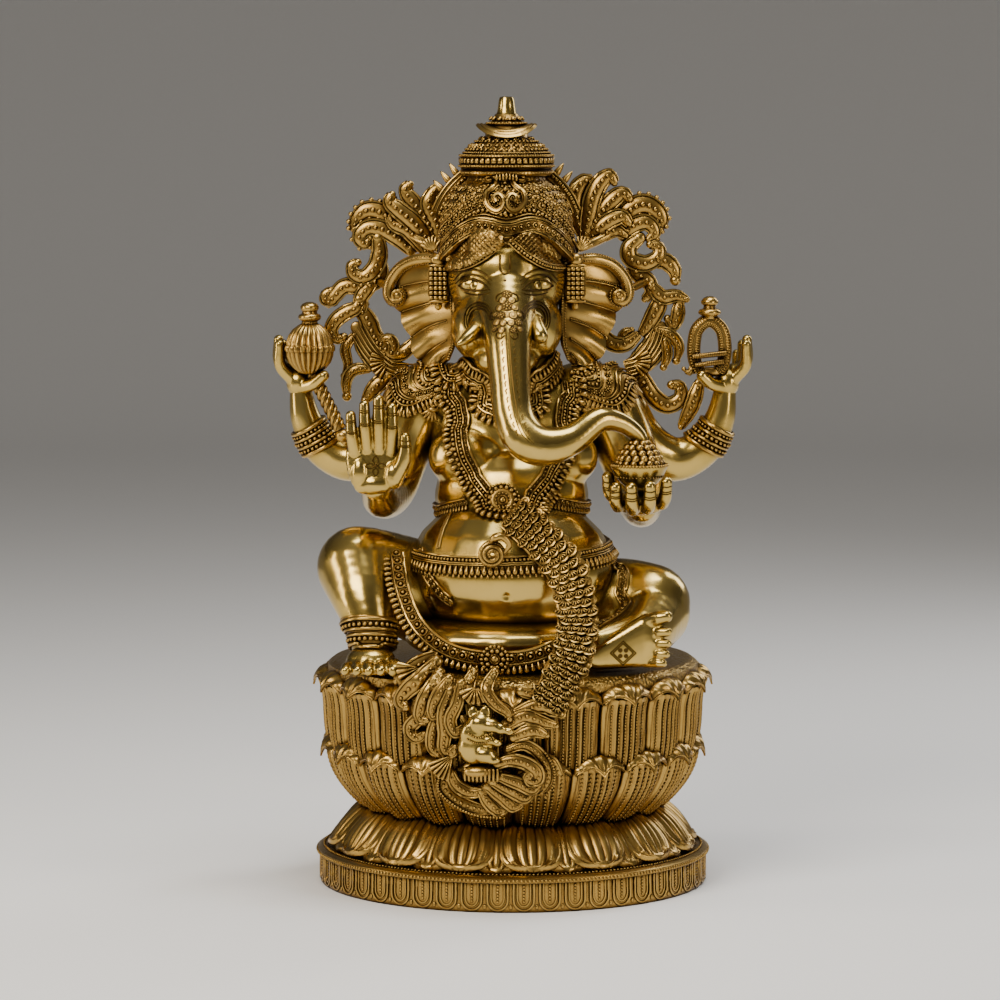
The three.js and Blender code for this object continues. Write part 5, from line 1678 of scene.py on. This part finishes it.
for side, name in ((-1, "l"), (1, "r")):
    wax = Pile()
    rim = Trail(mirror_ear(EAR_RIM, side), 1.6)
    rim.band(wax, round_section(4.6, 12), [0.5, 0.8, 1, 1, 1, 1, 1, 0.9, 0.7])
    for a in (0.5, 2.0, 3.6, 5.2):
        line = rim.place + 4.4 * (rim.side * math.cos(a) + rim.out * math.sin(a))
        Trail(line[:: 2], 2.1).beads(wax, BEAD, 0.85)
    end = mirror_ear((-89.4, -8, 457), side)
    wax.add(BALL, (4.2, 4, 4.2), end).add(RING, (4.8, 4.8, 3), end + (0, -3.2, 0),
        [(1, 0, 0), (0, 0, 1), (0, -1, 0)])
    for k in range(int(FOLDS) + 1):
        line = []
        for u in np.linspace(0.16, 0.97, 7):
            v = 0.30 - 0.16 * (1 - u) + 0.70 * k / FOLDS
            line.append(place_on_ear(side, u, min(v, 0.99)))
        t = Trail(line, 1.9)
        t.place = t.place + t.out * 2.3
        t.band(wax, round_section(0.8, 6), [0.4, 1, 1, 0.7])
        t.place = t.place + t.side * 1.5
        t.beads(wax, BEAD, 0.85)
    for off in (0.03, 0.09):
        line = [place_on_ear(side, off, v) + (0, -2.4, 0) for v in np.linspace(0.2, 0.98, 9)]
        Trail(line, 2).beads(wax, BEAD, 1.0)
    show(recalculated(wax.mesh("Ear_rim_" + name)), ANTIQUE)
    wax = Pile()
    x0, z0 = (-57.5, 467) if side < 0 else (48, 467)
    for row in range(7):
        for col in range(4):
            wax.add(BOX, (1.65, 1.6, 1.5), (x0 + (col - 1.5) * 3.5, -27 + 0.5 * abs(col - 1.5),
                z0 + (row - 3) * 3.7))
    wax.add(BOX, (8, 1.6, 13.6), (x0, -24.5, z0))
    for z in (-13.8, 13.8):
        wax.add(BEAD, (8.6, 2.6, 1.8), (x0, -26, z0 + z))
    wax.ball(x0, -25, z0 + 18, 6, 4, 5).ball(x0, -24, z0 - 17, 3, 3, 4)
    for k in range(7):
        a = math.radians(-60 + 20 * k)
        d = np.array((math.sin(a) * 0.8 + side * 0.35, 0, math.cos(a)))
        wax.add(BEAD, (1.7, 1.9, 6.5), np.array((x0 + side * 4, -22, z0 + 25)) + unit(d) * 5.5,
            [unit(np.cross((0, 1, 0), d)), (0, 1, 0), unit(d)])
    show(recalculated(wax.mesh("Ear_pendant_" + name)), ANTIQUE, "ear_pendant_" + name)

# %% Eyes, brow lines and forehead mark
FACE = Skin(head)
wax, balls = Pile(), Pile()
for x, z, side in EYES:
    def eye(points, size, taper=(0.3, 1, 1, 0.4)):
        line = [(x + side * a, -70, z + b) for a, b in points]
        t = Trail(line, 1.2, FACE, 0.2, front=True)
        t.band(wax, round_section(size, 6), taper)

    eye([(-12.5, -3.2), (-7, 1.6), (0, 3.8), (6, 2.6), (11.5, -1.6)], 0.95)
    eye([(-12.5, -3.4), (-6, -4.2), (0, -4.6), (6, -3.8), (11.5, -1.6)], 0.85)
    eye([(-13.5, 0.2), (-8, 5), (0, 7.4), (7.5, 5.6), (13.6, 0)], 0.8)
    eye([(-14, 3.4), (-8.6, 8.6), (0, 11.4), (8.6, 9), (15, 2)], 0.95)
    eye([(-13, -5.6), (-7, -7.2), (0, -7.8), (7, -6.6)], 0.6)
    at, normal = FACE.front(x - side * 0.6, z - 0.4)
    frame_axes = [unit(np.cross((0, 0, 1), normal)),
        unit(np.cross(normal, unit(np.cross((0, 0, 1), normal)))), normal]
    balls.add(BALL, (3.7, 3.4, 1.1), at + normal * 0.2, frame_axes)
    wax.add(RING, (4.6, 4.3, 1.6), at, frame_axes).add(BALL, (1.3, 1.3, 0.7), at + normal * 1.1, frame_axes)
mark = [(-10, -70, 490), (-10, -70, 480.5), (-8.8, -70, 477.2), (-6.2, -70, 475.8), (-3.6, -70, 477.2),
    (-2.4, -70, 480.5), (-2.4, -70, 490)]
Trail(mark, 1.2, FACE, 0.1, front=True).band(wax, round_section(0.8, 6))
at, normal = FACE.front(-6.2, 471)
wax.add(BALL, (1, 0.6, 1), at)
show(recalculated(wax.mesh("Face_lines")), PAINTED_GROOVE_SHADE)

show(recalculated(balls.mesh("Eyeballs")), POLISHED)

# %% Chased panel and lines down the trunk
wax, motif = Pile(), Pile()
MOTIF = [(0, 461, 3.2), (-3.4, 456.5, 2.6), (3.4, 456.5, 2.6), (0, 452, 3.6), (-6, 451, 2.6), (6, 451, 2.6),
    (-4.6, 445.5, 3), (4.6, 445.5, 3),
         (0, 446, 2.2), (-9, 446, 2.2), (9, 446, 2.2), (-8.2, 440.5, 2.8), (8.2, 440.5, 2.8), (-3, 440, 2.4),
         (3, 440, 2.4), (-9.6, 435.4, 2.2),
         (9.6, 435.4, 2.2), (-4.4, 435, 2.4), (4.4, 435, 2.4)]
for i, (dx, z, r) in enumerate(MOTIF):
    at, normal = FACE.front(-4.6 + dx, z)
    a = unit(np.cross((0, 0, 1), normal))
    motif.add(FLOWER if i % 3 == 0 else LOBE, (r, r, r * 0.55), at + normal * 0.35,
        [a, np.cross(normal, a), normal])
    wax.add(RING, (r * 1.3, r * 1.3, 2.3), at, [a, np.cross(normal, a), normal])
for side in (-1, 1):
    for curl in ([(2, 431), (5, 428.5), (8, 430), (7.6, 433), (5.4, 432.4)],
        [(10, 449), (12.6, 446), (12.4, 442), (10.6, 442.6)],
        [(4, 462), (7.6, 460), (8.4, 456.6), (6.6, 455.6)]):
        Trail([(-4.6 + side * dx, -100, z) for dx, z in curl], 1.2, FACE, 0.2, front=True).band(wax,
            round_section(0.75, 6), [0.6, 1, 1, 0.6])
CENTRE_LINE = [(-4.4, -100, 436), (-3.6, -110, 420), (-2.4, -115, 404), (-0.6, -125, 388), (2.4, -130, 372),
    (7, -135, 360), (14, -138, 352)]
for off in (-1.3, 1.3):
    Trail([(x + off, y, z) for x, y, z in CENTRE_LINE], 1.8, FACE, 0.05, front=True).band(wax,
        round_section(0.5, 5), [1, 1, 0.8, 0.3])
for side in (-1, 1):
    t = Trail([(x + side * 4.4, y, z) for x, y, z in CENTRE_LINE[:-1]], 6.5, FACE, 0.05, front=True)
    for i in range(t.count):
        c, f, s = t.place[i], t.forward[i], t.side[i]
        Trail([c - f * 2.2 + s * 0.8, c - f * 0.6 - s * 0.6, c + f * 0.9 + s * 0.2, c + f * 2 - s * 0.6], 1.0,
            FACE, 0.05).band(wax, round_section(0.42, 5))
show(recalculated(wax.mesh("Trunk_chasing")), PAINTED_GROOVE_SHADE)
show(recalculated(motif.mesh("Trunk_flowers")), ANTIQUE)

# %% Tusks and their sockets
wax = Pile()
for x, side, points in ((-24, -1, [(-26, -66, 437, 7), (-31, -76, 431, 6), (-37, -82, 426.6, 4.2),
    (-41, -85, 424, 2)]),
                        (15, 1, [(16, -66, 439, 7.4), (18.6, -75, 433, 7), (20.4, -79, 429, 6.4)])):
    wax.roll(points, 0.2)
tusks = melt(wax, "Tusks", 0.9, 4)
show(tusks, POLISHED, "tusk_l", "tusk_r")
wax = Pile()
for x, z, side in ((-25.5, 440, -1), (16.5, 441, 1)):
    for k, (r, size) in enumerate(((9.4, 0.9), (11.6, 0.8), (13.6, 0.7))):
        arc = [(x + r * 0.86 * math.cos(a), -100,
            z + r * 1.05 * math.sin(a)) for a in np.radians(np.linspace(10 if side < 0 else -40,
            220 if side < 0 else 170, 9))]
        Trail(arc, 1.4, FACE, 0.2, front=True).band(wax, round_section(size, 6), [0.4, 1, 1, 0.4])
show(recalculated(wax.mesh("Tusk_sockets")), PAINTED_GROOVE_SHADE)

# %% [markdown]
# ## Every piece gets its finish
# The skins are shown only now, because the ornament had to be laid on them first. A CAD casting
# that no piece stands for keeps its own shape and is given the brass it is cast in.
# %% Skins
show(torso, POLISHED, "torso")
show(head, POLISHED, "head")
show(ear_l, ANTIQUE, "ear_l", angle=50)
show(ear_r, ANTIQUE, "ear_r", angle=50)
show(arm_front_l, POLISHED, "arm_front_l")
show(arm_front_r, POLISHED, "arm_front_r")
show(arm_rear_l, POLISHED, "arm_rear_l")
show(arm_rear_r, POLISHED, "arm_rear_r")
show(leg_raised, POLISHED, "leg_raised")
show(leg_folded, POLISHED, "leg_folded")
show(hand_blessing, POLISHED, "hand_blessing")
show(hand_bowl, POLISHED, "hand_bowl")
show(hand_rear_l, POLISHED, "hand_rear_l")
show(hand_rear_r, POLISHED, "hand_rear_r")
show(foot_raised, POLISHED, "foot_raised")
show(foot_folded, POLISHED, "foot_folded")

# %% CAD castings that keep their own shape
STEEL_NODES = {"tie_stud", "tie_nut"}
for name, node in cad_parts.items():
    node.data.materials.clear()
    node.data.materials.append(STEEL if name in STEEL_NODES else ANTIQUE)
print("finished the CAD castings")

# %% [markdown]
# ## Floor, light and camera
# Brass shows what is around it, so the room is the look. The floor is flat under the figure and
# curves up far out, so no edge shows. One large soft panel stands high at the front left, a weaker
# one fills from the right, a low one lights the left side, one hangs overhead, and one at the back
# right draws the edges. The room is darker below than above, which gives the brass its dark
# reflections.
# %% Floor
FLOOR = bpy.data.materials.new("pale_studio_paper")
FLOOR.use_nodes = True
paper = FLOOR.node_tree
paper_shader = paper.nodes["Principled BSDF"]
paper_shader.inputs["Roughness"].default_value = 0.75
fibre = add_node(
    paper, "ShaderNodeTexNoise", [(add_node(paper, "ShaderNodeTexCoord").outputs["Object"], "Vector")],
    Scale=900, Detail=2
).outputs["Fac"]
paper.links.new(ramp(paper, fibre, [(0.3, "#f4f3f1"), (0.7, "#fbfaf9")]), paper_shader.inputs["Base Color"])
FLOOR_SIZE, FLAT_RADIUS, CURVE = 15, 4.2, 0.2
bpy.ops.object.select_all(action="DESELECT")
bpy.ops.mesh.primitive_grid_add(x_subdivisions=80, y_subdivisions=80, size=FLOOR_SIZE)
floor = bpy.context.object
floor.name = "Studio_floor"
for v in floor.data.vertices:
    rise = max(0, min(math.hypot(v.co.x, v.co.y), FLOOR_SIZE / 2) - FLAT_RADIUS)
    v.co.z = CURVE * rise**2
bpy.ops.object.shade_smooth()
floor.data.materials.append(FLOOR)


# %% Light panels
def panel(name, place, aim, wide, high, watts, colour="#ffffff"):
    lamp = bpy.data.lights.new(name, "AREA")
    lamp.shape = "RECTANGLE"
    lamp.size, lamp.size_y, lamp.energy = wide, high, watts
    lamp.color = linear(colour)[:3]
    o = bpy.data.objects.new(name, lamp)
    bpy.context.scene.collection.objects.link(o)
    o.location = place
    o.rotation_euler = (Vector(aim) - Vector(place)).to_track_quat("-Z", "Y").to_euler()
    return o


CENTRE = (0, 0, 0.32)
panel("Key_panel", (-0.9, -1.5, 1.5), CENTRE, 1.1, 0.8, 34, "#fff6e8")
panel("Fill_panel", (1.5, -1.2, 0.7), CENTRE, 0.35, 1.0, 9, "#fff2dd")
panel("Side_panel", (-1.6, -0.3, 0.6), CENTRE, 0.3, 1.0, 8, "#fff2dd")
panel("Top_panel", (0.2, -0.2, 1.9), CENTRE, 1.0, 0.8, 22)
panel("Edge_panel", (1.2, 1.1, 1.2), CENTRE, 0.5, 1.2, 10)
world = bpy.data.worlds.new("Soft_room")
bpy.context.scene.world = world
world.use_nodes = True
room = world.node_tree
sky = room.nodes["Background"]
height = add_node(
    room, "ShaderNodeSeparateXYZ", [(add_node(room, "ShaderNodeTexCoord").outputs["Generated"], "Vector")]
).outputs["Z"]
room.links.new(ramp(room, height, [(0.0, "#4a4641"), (0.5, "#8a8681"), (1, "#d8d5d0")]), sky.inputs["Color"])
sky.inputs["Strength"].default_value = 0.34

# %% Camera
camera_data = bpy.data.cameras.new("Camera")
LENS_MM, SENSOR_MM, LOOKS_DOWN = 155.2, 36, 5.364
camera_data.lens, camera_data.sensor_width = LENS_MM, SENSOR_MM
camera = bpy.data.objects.new("Camera", camera_data)
bpy.context.scene.collection.objects.link(camera)
camera.location = (-0.010, -3.342, 0.611)
camera.rotation_euler = (math.radians(90 - LOOKS_DOWN), 0, 0)
bpy.context.scene.camera = camera

# %% The size of the CAD box
print("CAD box", [round(a, 4) for a in (*cad_low, *cad_high)])
